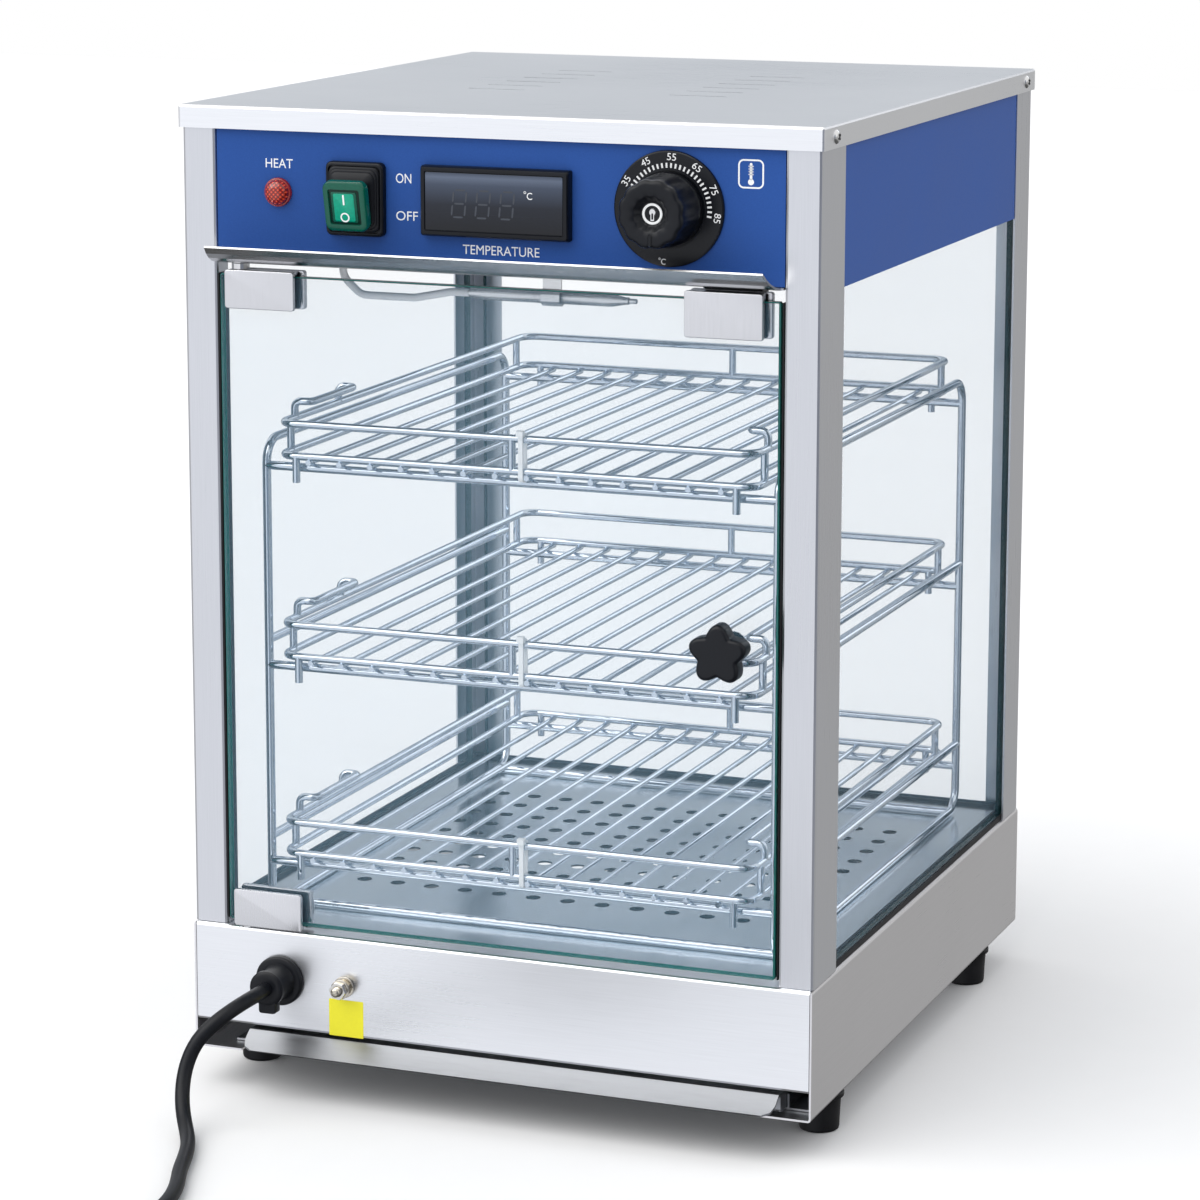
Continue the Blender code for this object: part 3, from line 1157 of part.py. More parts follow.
def build_star_knob():
    glass_front = DOOR_FRONT_BACK - FIT
    head_back = glass_front - STAR_NECK
    outer = STAR_DIAMETER / 2
    valley = outer * STAR_VALLEY_SHARE
    outline = []
    for k in range(STAR_POINTS):
        angle = TURN * k / STAR_POINTS
        wave = (1 + math.cos(STAR_LOBES * angle)) / 2
        reach = valley + (outer - valley) * wave ** 0.8
        outline.append((STAR_CENTRE + reach * math.sin(angle), STAR_HEIGHT + reach * math.cos(angle)))
    head = extruded("star_head", outline[::-1], "Y", back(head_back - STAR_HEAD), back(head_back), PLASTIC,
                    parts=False, edge=STAR_ROUND)
    reach = STAR_NECK + STAR_HEAD / 2
    inside = -DOOR_GLASS - 2 * FIT - NUT_WASHER - NUT_THICKNESS - STUD_TIP
    profile = [(0.0, reach), (STAR_NECK_DIAMETER / 2, reach), (STAR_NECK_DIAMETER / 2, 0.0),
               (STUD_DIAMETER / 2, 0.0), (STUD_DIAMETER / 2, inside), (0.0, inside)]
    neck = turned("star_neck", profile, FOOT_STEPS, (STAR_CENTRE, back(glass_front), STAR_HEIGHT), "-Y", parts=False)
    knob = fused("door_knob", [head, neck], PLASTIC)
    top = head_back - STAR_HEAD
    profile = [(0.0, CUT_OVERRUN), (STAR_RECESS_DIAMETER / 2, CUT_OVERRUN),
               (STAR_RECESS_DIAMETER / 2, -STAR_RECESS), (0.0, -STAR_RECESS)]
    cut(knob, turned("star_recess", profile, PIN_STEPS, (STAR_CENTRE, back(top), STAR_HEIGHT), "-Y", parts=False))
    bore = STUD_DIAMETER / 2 + FIT
    seat = DOOR_FRONT_BACK + DOOR_GLASS + FIT
    washer = extruded("nut_washer", circle((STAR_CENTRE, STAR_HEIGHT), NUT_WASHER_DIAMETER, FOOT_STEPS), "Y",
                      back(seat), back(seat + NUT_WASHER), parts=False)
    hexagon = extruded("nut_hex", circle((STAR_CENTRE, STAR_HEIGHT), NUT_ACROSS / math.cos(math.pi / 6), 6), "Y",
                       back(seat + NUT_WASHER / 2), back(seat + NUT_WASHER + NUT_THICKNESS), parts=False)
    nut = fused("door_knob_nut", [washer, hexagon], STEEL)
    depth = NUT_WASHER + NUT_THICKNESS
    profile = [(0.0, CUT_OVERRUN), (bore, CUT_OVERRUN), (bore, -depth - CUT_OVERRUN), (0.0, -depth - CUT_OVERRUN)]
    cut(nut, turned("nut_bore", profile, PIN_STEPS, (STAR_CENTRE, back(seat), STAR_HEIGHT), "-Y", parts=False))


# Shelf stand: two side loops joined by cross bars under every shelf

def build_stand():
    front = back(STAND_FRONT_BACK)
    rear = back(STAND_REAR_BACK)
    radius = STAND_WIRE / 2
    foot = FLOOR_TOP + FIT + radius
    bars = [height - SHELF_WIRE / 2 - GRID_WIRE + WELD_SINK - FIT - radius for height in SHELF_HEIGHTS]
    top = bars[-1] + STAND_SIDE_RISE
    wires = []
    for name, x in (("left", -STAND_HALF_WIDTH), ("right", STAND_HALF_WIDTH)):
        loop = rounded([(x, front, foot), (x, front, top), (x, rear, top), (x, rear, foot)], STAND_BEND, 3,
                       closed=True)
        wires.append(rod(f"stand_loop_{name}", loop, STAND_WIRE, closed=True))
        for level, bar in enumerate(bars[:-1]):
            z = bar + STAND_SIDE_RISE
            wires.append(rod(f"stand_side_{name}_{level}", [(x, front, z), (x, rear, z)], STAND_WIRE * 0.92))
    for level, bar in enumerate([foot, *bars]):
        inset = 0.0 if level else STAND_BEND
        for end, y in (("front", front + inset), ("rear", rear - inset)):
            ends = [(-STAND_HALF_WIDTH, y, bar), (STAND_HALF_WIDTH, y, bar)]
            wires.append(rod(f"stand_bar_{end}_{level}", ends, STAND_WIRE * 0.96))
    fused("shelf_stand", wires, CHROME)


# Shelf: two wire rings one above the other, a grid of wires beneath, pegs and two grips

def build_shelf(name, height):
    front = back(STAND_FRONT_BACK - SHELF_FRONT_OVERHANG)
    rear = back(STAND_REAR_BACK + SHELF_FRONT_OVERHANG)
    half = SHELF_HALF_WIDTH
    guard = height + GUARD_RISE
    wires = []
    for ring, z in (("deck", height), ("guard", guard)):
        corners = [(-half, front, z), (half, front, z), (half, rear, z), (-half, rear, z)]
        wires.append(rod(f"{name}_{ring}", rounded(corners, SHELF_CORNER, 3, closed=True), SHELF_WIRE, closed=True))
    grid = height - SHELF_WIRE / 2 - GRID_WIRE / 2 + WELD_SINK
    for k in range(GRID_WIRES):
        x = (k - (GRID_WIRES - 1) / 2) * GRID_PITCH
        ends = [(x, front - GRID_END, grid), (x, rear + GRID_END, grid)]
        wires.append(rod(f"{name}_grid_{k}", ends, GRID_WIRE, sides=0))
    posts = [(0.0, front), (0.0, rear)]
    posts += [(x, y) for x in (-half, half) for y in (front + POST_WIRE_BACK, rear - POST_WIRE_BACK)]
    for k, (x, y) in enumerate(posts):
        wires.append(rod(f"{name}_upright_{k}", [(x, y, height), (x, y, guard)], GRID_WIRE, sides=0))
    for k, (x, y) in enumerate([(sx * (half - SHELF_CORNER - PEG_INSET), y) for sx in (-1, 1) for y in (front, rear)]):
        wires.append(rod(f"{name}_peg_{k}", [(x, y, height), (x, y, height - PEG_LENGTH)], SHELF_WIRE * 0.9))
    for k, side in enumerate((-1, 1)):
        near = front + SHELF_CORNER + GRIP_START
        far = near + GRIP_LENGTH
        x = side * half
        inner = side * (half - GRIP_REACH)
        top = guard + GRIP_RISE
        path = [(x, near, guard), (x, near, top), (inner, near, top), (inner, far, top), (x, far, top), (x, far, guard)]
        wires.append(rod(f"{name}_grip_{k}", rounded(path, GRIP_BEND, 2), SHELF_WIRE * 0.96))
    fused(name, wires, CHROME)


# Mains entry: gland, cord, coil and plug, and the earth stud beside it

def build_gland():
    flange = GLAND_FLANGE_DIAMETER / 2
    barrel = GLAND_BARREL_DIAMETER / 2
    rim = GLAND_RIM_DIAMETER / 2
    profile = [(0.0, GLAND_REACH), (rim, GLAND_REACH), (rim, GLAND_REACH - GLAND_RIM),
               (barrel, GLAND_REACH - GLAND_RIM), (barrel, GLAND_FLANGE), (flange, GLAND_FLANGE),
               (flange, FIT), (GLAND_STEM_DIAMETER / 2, FIT), (GLAND_STEM_DIAMETER / 2, -GLAND_STEM),
               (0.0, -GLAND_STEM)]
    turned("cord_gland", profile, GLAND_STEPS, (GLAND_CENTRE, back(0.0), GLAND_HEIGHT), "-Y", RUBBER)


def build_earth_stud():
    radius = EARTH_DIAMETER / 2
    rear = -SHEET - FIT
    profile = [(0.0, EARTH_REACH), (radius, EARTH_REACH), (radius, rear), (EARTH_HEAD_DIAMETER / 2, rear),
               (EARTH_HEAD_DIAMETER / 2, rear - EARTH_HEAD), (0.0, rear - EARTH_HEAD)]
    turned("earth_stud", profile, PIN_STEPS, (EARTH_CENTRE, back(0.0), EARTH_HEIGHT), "-Y", BRASS)
    washer = extruded("earth_washer", circle((EARTH_CENTRE, EARTH_HEIGHT), EARTH_WASHER_DIAMETER, PIN_STEPS), "Y",
                      back(-FIT - EARTH_WASHER), back(-FIT), parts=False)
    hexagon = extruded("earth_hex",
                       circle((EARTH_CENTRE, EARTH_HEIGHT), EARTH_NUT_ACROSS / math.cos(math.pi / 6), 6), "Y",
                       back(-FIT - EARTH_WASHER - EARTH_NUT), back(-FIT - EARTH_WASHER / 2), parts=False)
    nut = fused("earth_nut", [washer, hexagon], BRASS)
    reach = EARTH_WASHER + EARTH_NUT + CUT_OVERRUN
    profile = [(0.0, reach), (radius + FIT, reach), (radius + FIT, -CUT_OVERRUN), (0.0, -CUT_OVERRUN)]
    cut(nut, turned("earth_bore", profile, PIN_STEPS, (EARTH_CENTRE, back(0.0), EARTH_HEIGHT), "-Y", parts=False))


def flowing(points, samples):
    """Evenly spaced points along one smooth curve through the given points."""
    points = [Vector(point) for point in points]
    knots = [2 * points[0] - points[1], *points, 2 * points[-1] - points[-2]]
    fine = []
    for k in range(len(points) - 1):
        a, b, c, d = knots[k:k + 4]
        for step in range(16):
            s = step / 16
            fine.append(0.5 * ((2 * b) + (c - a) * s + (2 * a - 5 * b + 4 * c - d) * s * s
                               + (3 * b - a - 3 * c + d) * s ** 3))
    fine.append(points[-1])
    lengths = [0.0]
    for before, after in zip(fine, fine[1:]):
        lengths.append(lengths[-1] + (after - before).length)
    path = []
    index = 0
    for sample in range(samples + 1):
        want = lengths[-1] * sample / samples
        while index < len(fine) - 2 and lengths[index + 1] < want:
            index += 1
        share = (want - lengths[index]) / (lengths[index + 1] - lengths[index])
        path.append(fine[index].lerp(fine[index + 1], share))
    return path


def coil_path():
    """Turns that spiral in on the floor, climb a layer and spiral out again, then run to the plug."""
    centre = Vector((COIL_CENTRE_X, back(COIL_CENTRE_BACK), 0.0))
    ground = CORD_DIAMETER / 2 + CORD_LIFT
    outer = COIL_OUTER_RADIUS
    inner = outer - COIL_PITCH * COIL_TURNS
    steps = COIL_POINTS * COIL_TURNS
    path = []
    for k in range(steps + 1):
        angle = math.pi + TURN * k / COIL_POINTS
        radius = outer - COIL_PITCH * k / COIL_POINTS
        path.append(centre + Vector((radius * math.cos(angle), radius * math.sin(angle), ground)))
    climb = COIL_POINTS // 2
    for k in range(1, climb + 1):
        share = k / climb
        angle = math.pi + TURN * (steps + k) / COIL_POINTS
        radius = inner - COIL_PITCH / 4 * (1 - abs(2 * share - 1))
        height = ground + COIL_LAYER * share * share * (3 - 2 * share)
        path.append(centre + Vector((radius * math.cos(angle), radius * math.sin(angle), height)))
    for k in range(1, steps + 1 - round(COIL_POINTS * COIL_OPEN_SHARE)):
        angle = math.pi + TURN * (steps + climb + k) / COIL_POINTS
        radius = inner + COIL_PITCH * k / COIL_POINTS
        path.append(centre + Vector((radius * math.cos(angle), radius * math.sin(angle), ground + COIL_LAYER)))
    return path


def least_gap(path, diameter):
    """Smallest gap between stretches of a tube that are more than three diameters apart along it."""
    least = math.inf
    travelled = [0.0]
    for before, after in zip(path, path[1:]):
        travelled.append(travelled[-1] + (after - before).length)
    for i, here in enumerate(path):
        for j in range(i + 1, len(path)):
            if travelled[j] - travelled[i] > 3 * diameter:
                least = min(least, (path[j] - here).length - diameter)
    return least


def build_cord():
    route = [(x, back(y), z) for x, y, z in CORD_ROUTE]
    start = Vector((GLAND_CENTRE, back(-GLAND_REACH - FIT), GLAND_HEIGHT))
    coil = coil_path()
    lead = coil[0] + Vector((0.0, COIL_LEAD, 0.0))
    cord = flowing([start, *route[1:-1], lead + Vector((0.0, FIT, 0.0))], CORD_SAMPLES)
    rod("supply_cord", cord, CORD_DIAMETER, RUBBER, sides=CORD_SIDES_BEVEL, parts=True)
    end = coil[-1]
    tail = [end + (end - coil[-2]).normalized() * CORD_DIAMETER]
    tail += [end + Vector((x, y, share * COIL_TAIL_RISE)) for x, y, share in COIL_TAIL]
    exit_way = (tail[-1] - tail[-2])
    exit_way.z = 0.0
    tail.append(tail[-1] + exit_way.normalized() * CORD_DIAMETER)
    wound = [lead, *coil, *flowing(tail, 6)]
    rod("cord_coil", wound, CORD_DIAMETER, RUBBER, parts=True)
    print("cord coil: least gap to itself", round(least_gap(wound, CORD_DIAMETER), 5), "m")
    length = sum((b - a).length for a, b in zip(cord, cord[1:])) + sum((b - a).length for a, b in zip(wound, wound[1:]))
    print("cord: length from gland to plug", round(length, 4), "m")
    build_plug(wound[-1], (wound[-1] - wound[-2]).normalized())


def build_plug(place, way):
    """Two-pin mains plug lying on its side at the end of the cord."""
    sleeve = PLUG_SLEEVE_DIAMETER / 2
    neck = PLUG_NECK_DIAMETER / 2
    face = PLUG_FACE_DIAMETER / 2
    end = FIT + PLUG_NECK + PLUG_LENGTH
    profile = [(0.0, end - PLUG_FACE_RECESS), (face * 0.8, end - PLUG_FACE_RECESS), (face * 0.84, end), (face, end),
               (face, end - PLUG_LENGTH / 2), (face * 0.8, FIT + PLUG_NECK), (neck, FIT + PLUG_NECK * 0.8),
               (sleeve, FIT), (0.0, FIT)]
    body = turned("plug_body", profile, PLUG_STEPS, (0.0, 0.0, 0.0), "Z", parts=False)
    pieces = [body]
    for sign in (-1, 1):
        pin = turned(f"plug_pin_{sign}", [(0.0, end + PLUG_PIN_LENGTH), (PLUG_PIN_DIAMETER / 2, end + PLUG_PIN_LENGTH),
                                          (PLUG_PIN_DIAMETER / 2, end - PLUG_LENGTH / 4), (0.0, end - PLUG_LENGTH / 4)],
                     PIN_STEPS // 2, (0.0, sign * PLUG_PIN_PITCH / 2, 0.0), "Z", parts=False)
        pieces.append(pin)
    plug = fused("mains_plug", pieces, RUBBER)
    plug.location = place
    plug.rotation_mode = "QUATERNION"
    plug.rotation_quaternion = way.to_track_quat("Z", "Y")


build_lid()
build_posts()
build_base()
build_floor()
build_feet()
build_ceiling()
build_panels()
build_glazing()
build_tray()
build_heater()
build_wiring()
build_lamp()
build_switch()
build_thermometer()
build_thermostat()
build_knob()
build_probe()
build_door()
build_star_knob()
build_stand()
for shelf_name, shelf_height in zip(SHELF_NAMES, SHELF_HEIGHTS):
    build_shelf(shelf_name, shelf_height)
build_gland()
build_earth_stud()
build_cord()
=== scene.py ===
import math

import bmesh
import bpy
from mathutils import Matrix, Vector


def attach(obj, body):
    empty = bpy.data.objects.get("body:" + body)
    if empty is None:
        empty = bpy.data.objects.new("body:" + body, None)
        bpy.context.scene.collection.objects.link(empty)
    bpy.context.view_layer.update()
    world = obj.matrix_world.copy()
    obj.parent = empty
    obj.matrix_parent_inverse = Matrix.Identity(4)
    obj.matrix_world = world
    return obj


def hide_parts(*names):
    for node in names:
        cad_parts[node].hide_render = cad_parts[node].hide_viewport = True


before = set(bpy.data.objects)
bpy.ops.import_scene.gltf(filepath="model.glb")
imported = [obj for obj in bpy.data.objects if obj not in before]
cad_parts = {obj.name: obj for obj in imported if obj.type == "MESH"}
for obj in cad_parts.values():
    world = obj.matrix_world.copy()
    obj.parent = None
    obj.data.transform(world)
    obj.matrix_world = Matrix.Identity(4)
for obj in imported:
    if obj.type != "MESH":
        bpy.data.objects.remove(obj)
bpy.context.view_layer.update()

TURN = 2 * math.pi
CASE_FRONT = -0.17545
GLASS_FRONT, GLASS_REAR = CASE_FRONT + 0.0010, CASE_FRONT + 0.0060

# Studio: a white surround, graded by height and broken up by soft patches that the metal reflects, one
# broad sun, a pale floor, and the camera where the photograph was taken from.


def add(tree, kind, inputs=None, **settings):
    """One node, with its settings, and its inputs set or linked by name."""
    made = tree.nodes.new(kind)
    for key, value in settings.items():
        setattr(made, key, value)
    for key, value in (inputs or {}).items():
        if isinstance(value, bpy.types.NodeSocket):
            tree.links.new(value, made.inputs[key])
        else:
            made.inputs[key].default_value = value
    return made


def placed(name, data):
    """New object in the scene, at the origin."""
    piece = bpy.data.objects.new(name, data)
    bpy.context.scene.collection.objects.link(piece)
    return piece


def ramp(tree, factor, stops):
    """Colour ramp through (place, grey or colour) stops."""
    made = add(tree, "ShaderNodeValToRGB", {"Fac": factor})
    line = made.color_ramp.elements
    while len(line) < len(stops):
        line.new(0.5)
    for element, (where, shade) in zip(line, stops):
        element.position = where
        shade = (shade, shade, shade) if isinstance(shade, float) else shade
        element.color = (*shade, 1.0)
    return made.outputs["Color"]


bpy.context.scene.view_settings.view_transform = "Standard"
studio = bpy.data.worlds.new("studio")
bpy.context.scene.world = studio
studio.use_nodes = True
air = studio.node_tree
way = add(air, "ShaderNodeTexCoord").outputs["Generated"]
height = add(air, "ShaderNodeSeparateXYZ", {"Vector": way}).outputs["Z"]
height = add(air, "ShaderNodeMapRange", {"Value": height, "From Min": -1.0}).outputs["Result"]
around = ramp(air, height, [(0.0, 0.10), (0.25, 0.12), (0.33, 0.42), (0.48, 0.46), (0.51, 0.62),
    (0.56, 0.80), (0.70, 0.95), (1.0, 1.0)])
for aim, edge, soft, shade in (((-0.36, -0.92, -0.12), 0.62, 0.30, (0.93, 0.95, 1.0)),
        ((-0.95, 0.10, 0.10), 0.93, 0.05, (0.16, 0.18, 0.22)),
        ((0.55, -0.80, 0.10), 0.86, 0.06, (0.20, 0.22, 0.27)),
        ((0.93, -0.36, 0.25), 0.95, 0.03, (0.95, 0.97, 1.0)),
        ((-0.38, 0.90, 0.20), 0.84, 0.10, (0.50, 0.53, 0.57)),
        ((0.04, 1.00, 0.10), 0.978, 0.010, (0.07, 0.09, 0.12)),
        ((0.26, 0.88, 0.36), 0.975, 0.010, (1.60, 1.65, 1.75)),
        ((-0.72, -0.55, 0.42), 0.955, 0.020, (2.20, 2.25, 2.30))):
    toward = add(air, "ShaderNodeVectorMath", {0: way, 1: Vector(aim).normalized()},
        operation="DOT_PRODUCT").outputs["Value"]
    inside = add(air, "ShaderNodeMapRange", {"Value": toward, "From Min": edge, "From Max": edge + soft})
    around = add(air, "ShaderNodeMix", {"Factor": inside.outputs["Result"], 6: around, 7: (*shade, 1.0)},
        data_type="RGBA").outputs[2]
rays = add(air, "ShaderNodeLightPath").outputs
for ray, shade in (("Is Diffuse Ray", (0.90, 0.91, 0.93, 1.0)), ("Is Camera Ray", (1.0, 1.0, 1.0, 1.0))):
    around = add(air, "ShaderNodeMix", {"Factor": rays[ray], 6: around, 7: shade},
        data_type="RGBA").outputs[2]
air.links.new(around, air.nodes["Background"].inputs["Color"])

key = bpy.data.lights.new("key", "SUN")
key.energy, key.angle, key.color = 1.35, math.radians(60.0), (1.0, 0.985, 0.96)
holder = placed("key", key)
holder.rotation_euler = Vector((0.42, 0.55, -0.85)).to_track_quat("-Z", "Y").to_euler()

yaw, pitch, roll = (math.radians(angle) for angle in (21.375, 10.557, 0.032))
ahead = Vector((-math.sin(yaw) * math.cos(pitch), math.cos(yaw) * math.cos(pitch), -math.sin(pitch)))
right = Vector((math.cos(yaw), math.sin(yaw), 0.0))
lens = bpy.data.cameras.new("camera")
camera = placed("camera", lens)
camera.location = (0.7562, CASE_FRONT - 1.8116, 0.6851)
stand = Matrix((right, right.cross(ahead), -ahead)).transposed()
camera.rotation_euler = (stand @ Matrix.Rotation(roll, 3, "Z")).to_euler()
lens.sensor_width, lens.lens = 36.0, 122.06
lens.shift_x, lens.shift_y = 0.0150, -0.0833
bpy.context.scene.camera = camera


def finish(name, colour, metallic=0.0, roughness=0.5, grain=300, vary=0.06, gloss_vary=0.05, bump=0.0,
        depth=0.0001, broad=9.0, **constants):
    """Finish with its own fine grain and a broad unevenness, both in the object's own metres."""
    material = bpy.data.materials.new(name)
    material.use_nodes = True
    tree = material.node_tree
    shader = tree.nodes["Principled BSDF"]
    place = add(tree, "ShaderNodeTexCoord").outputs["Object"]
    drawn = add(tree, "ShaderNodeMapping", {"Vector": place, "Scale": grain
        if isinstance(grain, tuple) else (grain,) * 3}).outputs["Vector"]
    fine = add(tree, "ShaderNodeTexNoise", {"Vector": drawn, "Scale": 1.0, "Detail": 3.0}).outputs[0]
    cloud = add(tree, "ShaderNodeTexNoise", {"Vector": place, "Scale": broad, "Detail": 2.0}).outputs[0]
    both = add(tree, "ShaderNodeMath", {0: fine, 1: cloud}, operation="ADD").outputs[0]
    both = add(tree, "ShaderNodeMapRange", {"Value": both, "From Min": 0.6,
        "From Max": 1.4}).outputs["Result"]
    dark = tuple(c * (1 - vary) for c in colour[:3])
    light = tuple(min(c * (1 + vary), 1.0) for c in colour[:3])
    tree.links.new(ramp(tree, both, [(0.0, dark), (1.0, light)]), shader.inputs["Base Color"])
    shine = add(tree, "ShaderNodeMapRange", {"Value": both, "To Min": max(roughness - gloss_vary, 0.02),
        "To Max": roughness + gloss_vary}).outputs["Result"]
    tree.links.new(shine, shader.inputs["Roughness"])
    shader.inputs["Metallic"].default_value = metallic
    for key, value in constants.items():
        shader.inputs[key.replace("_", " ")].default_value = value
    if bump:
        raised = add(tree, "ShaderNodeBump", {"Height": fine, "Strength": bump, "Distance": depth})
        tree.links.new(raised.outputs["Normal"], shader.inputs["Normal"])
    return material


def fit(piece, body, slot, *nodes):
    """Rides with its body and stands for its CAD nodes; the slot is not used."""
    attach(piece, body)
    if nodes:
        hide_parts(*nodes)
    return piece


def dress(material, *nodes):
    """Give CAD nodes that keep their shape their finish."""
    for node in nodes:
        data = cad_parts[node].data
        data.materials.clear()
        data.materials.append(material)


def solid(name, shape, material, sharp=40.0):
    """Finished mesh object at the origin, from a bmesh."""
    mesh = bpy.data.meshes.new(name)
    shape.to_mesh(mesh)
    shape.free()
    for item in (material if isinstance(material, tuple) else [material]):
        mesh.materials.append(item)
    mesh.shade_smooth()
    mesh.set_sharp_from_angle(angle=math.radians(sharp))
    return placed(name, mesh)


shape = bmesh.new()
bmesh.ops.create_grid(shape, x_segments=8, y_segments=8, size=6.0)
floor = solid("studio_floor", shape, finish("pale_floor", (0.93, 0.93, 0.93), roughness=0.75, vary=0.006,
    grain=40, broad=1.5, Specular_IOR_Level=0.15))
floor.visible_glossy = False

# Mains cord: black rubber-sheathed lead that leaves its gland forwards, drops to the surface and runs out
# of the front; its spare length is wound in a flat two-layer coil, and ends in a moulded two-pin plug.
CORD_DIAMETER, SURFACE_LIFT = 0.0075, 0.0003
GLAND_X, GLAND_Z = -0.1186, 0.0610
CORD_ROUTE = ((GLAND_X, -0.0183, GLAND_Z), (GLAND_X, -0.0265, GLAND_Z), (-0.1221, -0.0400, 0.0591),
    (-0.1301, -0.0516, 0.0525), (-0.1381, -0.0569, 0.0433), (-0.1426, -0.0614, 0.0301),
    (-0.1409, -0.0692, 0.0165), (-0.1342, -0.0794, 0.0075), (-0.1261, -0.0921, 0.0042),
    (-0.1183, -0.1098, 0.00405), (-0.1104, -0.1320, 0.00405), (-0.1009, -0.1552, 0.00405),
    (-0.0952, -0.1802, 0.00405), (-0.0955, -0.2074, 0.00405), (-0.0980, -0.2365, 0.00405))
COIL_CENTRE = (-0.0455, -0.2520)
COIL_RADIUS, COIL_PITCH, COIL_LAYER, COIL_TURNS, COIL_STEPS = 0.0525, 0.0081, 0.0080, 2, 24
COIL_TAIL = ((0.0150, -0.0016, 0.0005), (0.0240, -0.0021, 0.0028), (0.0340, -0.0023, 0.0059),
    (0.0440, -0.0023, 0.0067))


def flowing(points, samples):
    """Evenly spaced points along one smooth curve through the given points."""
    points = [Vector(point) for point in points]
    knots = [2 * points[0] - points[1], *points, 2 * points[-1] - points[-2]]
    fine = []
    for k in range(len(points) - 1):
        a, b, c, d = knots[k:k + 4]
        for step in range(16):
            s = step / 16
            fine.append(0.5 * ((2 * b) + (c - a) * s + (2 * a - 5 * b + 4 * c - d) * s * s
                + (3 * b - a - 3 * c + d) * s ** 3))
    fine.append(points[-1])
    travelled = [0.0]
    for before, after in zip(fine, fine[1:]):
        travelled.append(travelled[-1] + (after - before).length)
    path, index = [], 0
    for sample in range(samples + 1):
        want = travelled[-1] * sample / samples
        while index < len(fine) - 2 and travelled[index + 1] < want:
            index += 1
        share = (want - travelled[index]) / (travelled[index + 1] - travelled[index])
        path.append(fine[index].lerp(fine[index + 1], share))
    return path


def softened(points, steps=4):
    """Cubic B-spline near the points, held at both ends."""
    ends = [2 * points[0] - points[1], *points, 2 * points[-1] - points[-2]]
    path = []
    for a, b, c, d in zip(ends, ends[1:], ends[2:], ends[3:]):
        for step in range(steps):
            s = step / steps
            path.append((a * (1 - s) ** 3 + b * (3 * s ** 3 - 6 * s * s + 4)
                + c * (3 * s * (1 + s - s * s) + 1) + d * s ** 3) / 6)
    return [*path, points[-1]]


def spline_in(curve, points, closed=False, share=1.0):
    """One straight-sided spline in a curve, at a share of its thickness."""
    spline = curve.splines.new("POLY")
    spline.points.add(len(points) - 1)
    for point, place in zip(spline.points, points):
        point.co = (*place, 1.0)
        point.radius = share
    spline.use_cyclic_u = closed
    return spline


def tube(name, points, diameter, material, sides=4):
    """Round cable or bent rod along a path, as a curve of one open spline."""
    curve = bpy.data.curves.new(name, "CURVE")
    curve.dimensions = "3D"
    curve.bevel_depth = diameter / 2
    curve.bevel_resolution = sides
    curve.use_fill_caps = True
    spline_in(curve, points).use_smooth = True
    curve.materials.append(material)
    return placed(name, curve)


centre = Vector((COIL_CENTRE[0], CASE_FRONT + COIL_CENTRE[1], CORD_DIAMETER / 2 + SURFACE_LIFT))
inner = COIL_RADIUS - COIL_PITCH * COIL_TURNS
steps, climb = COIL_STEPS * COIL_TURNS, COIL_STEPS // 2
wound = []
for k in range(2 * steps + climb + 1 - COIL_STEPS // 4):
    angle = math.pi + TURN * k / COIL_STEPS
    if k <= steps:
        radius, rise = COIL_RADIUS - COIL_PITCH * k / COIL_STEPS, 0.0
    elif k <= steps + climb:
        share = (k - steps) / climb
        radius = inner - COIL_PITCH / 4 * (1 - abs(2 * share - 1))
        rise = COIL_LAYER * share * share * (3 - 2 * share)
    else:
        radius, rise = inner + COIL_PITCH * (k - steps - climb) / COIL_STEPS, COIL_LAYER
    wound.append(centre + Vector((radius * math.cos(angle), radius * math.sin(angle), rise)))
tail = [wound[-1] + (wound[-1] - wound[-2]).normalized() * CORD_DIAMETER]
tail += [wound[-1] + Vector(step) for step in COIL_TAIL]
tail.append(tail[-1] + Vector((CORD_DIAMETER, 0.0, 0.0)))
route = [(x, CASE_FRONT + y, z) for x, y, z in CORD_ROUTE]
cord_line = softened([*flowing(route, 30), *wound, *flowing(tail, 6)])
sheath = finish("black_sheath", (0.005, 0.006, 0.009), roughness=0.42, Specular_IOR_Level=0.3, grain=900,
    vary=0.25, bump=0.12, broad=30.0)
cord = tube("mains_cord", cord_line, CORD_DIAMETER, sheath, 5)
fit(cord, "cabinet", "black_rubber", "supply_cord", "cord_coil")


def lathe(name, profile, steps, matrix, material, sharp=40.0, ring=None):
    """Closed turned piece, from (radius, height) points down its side; ring(angle, height) scales radii."""
    shape = bmesh.new()
    rows = []
    for radius, level in profile:
        if radius == 0.0:
            rows.append([shape.verts.new(matrix @ Vector((0.0, 0.0, level)))])
            continue
        row = []
        for k in range(steps):
            angle = TURN * k / steps
            reach = radius * (ring(angle, level) if ring else 1.0)
            row.append(shape.verts.new(matrix @ Vector((reach * math.cos(angle), reach * math.sin(angle),
                level))))
        rows.append(row)
    closed = profile[0][0] != 0.0
    for upper, lower in zip(rows, rows[1:] + (rows[:1] if closed else [])):
        for k in range(steps):
            after = (k + 1) % steps
            loop = [upper[k % len(upper)], lower[k % len(lower)], lower[after % len(lower)],
                upper[after % len(upper)]]
            loop = [v for i, v in enumerate(loop) if v not in loop[:i]]
            shape.faces.new(loop)
    bmesh.ops.recalc_face_normals(shape, faces=shape.faces)
    return solid(name, shape, material, sharp)


def skin(shape, one, two):
    """Ring of quads between two closed rows of equal counts."""
    for k in range(len(one)):
        after = (k + 1) % len(one)
        shape.faces.new((one[k], one[after], two[after], two[k]))


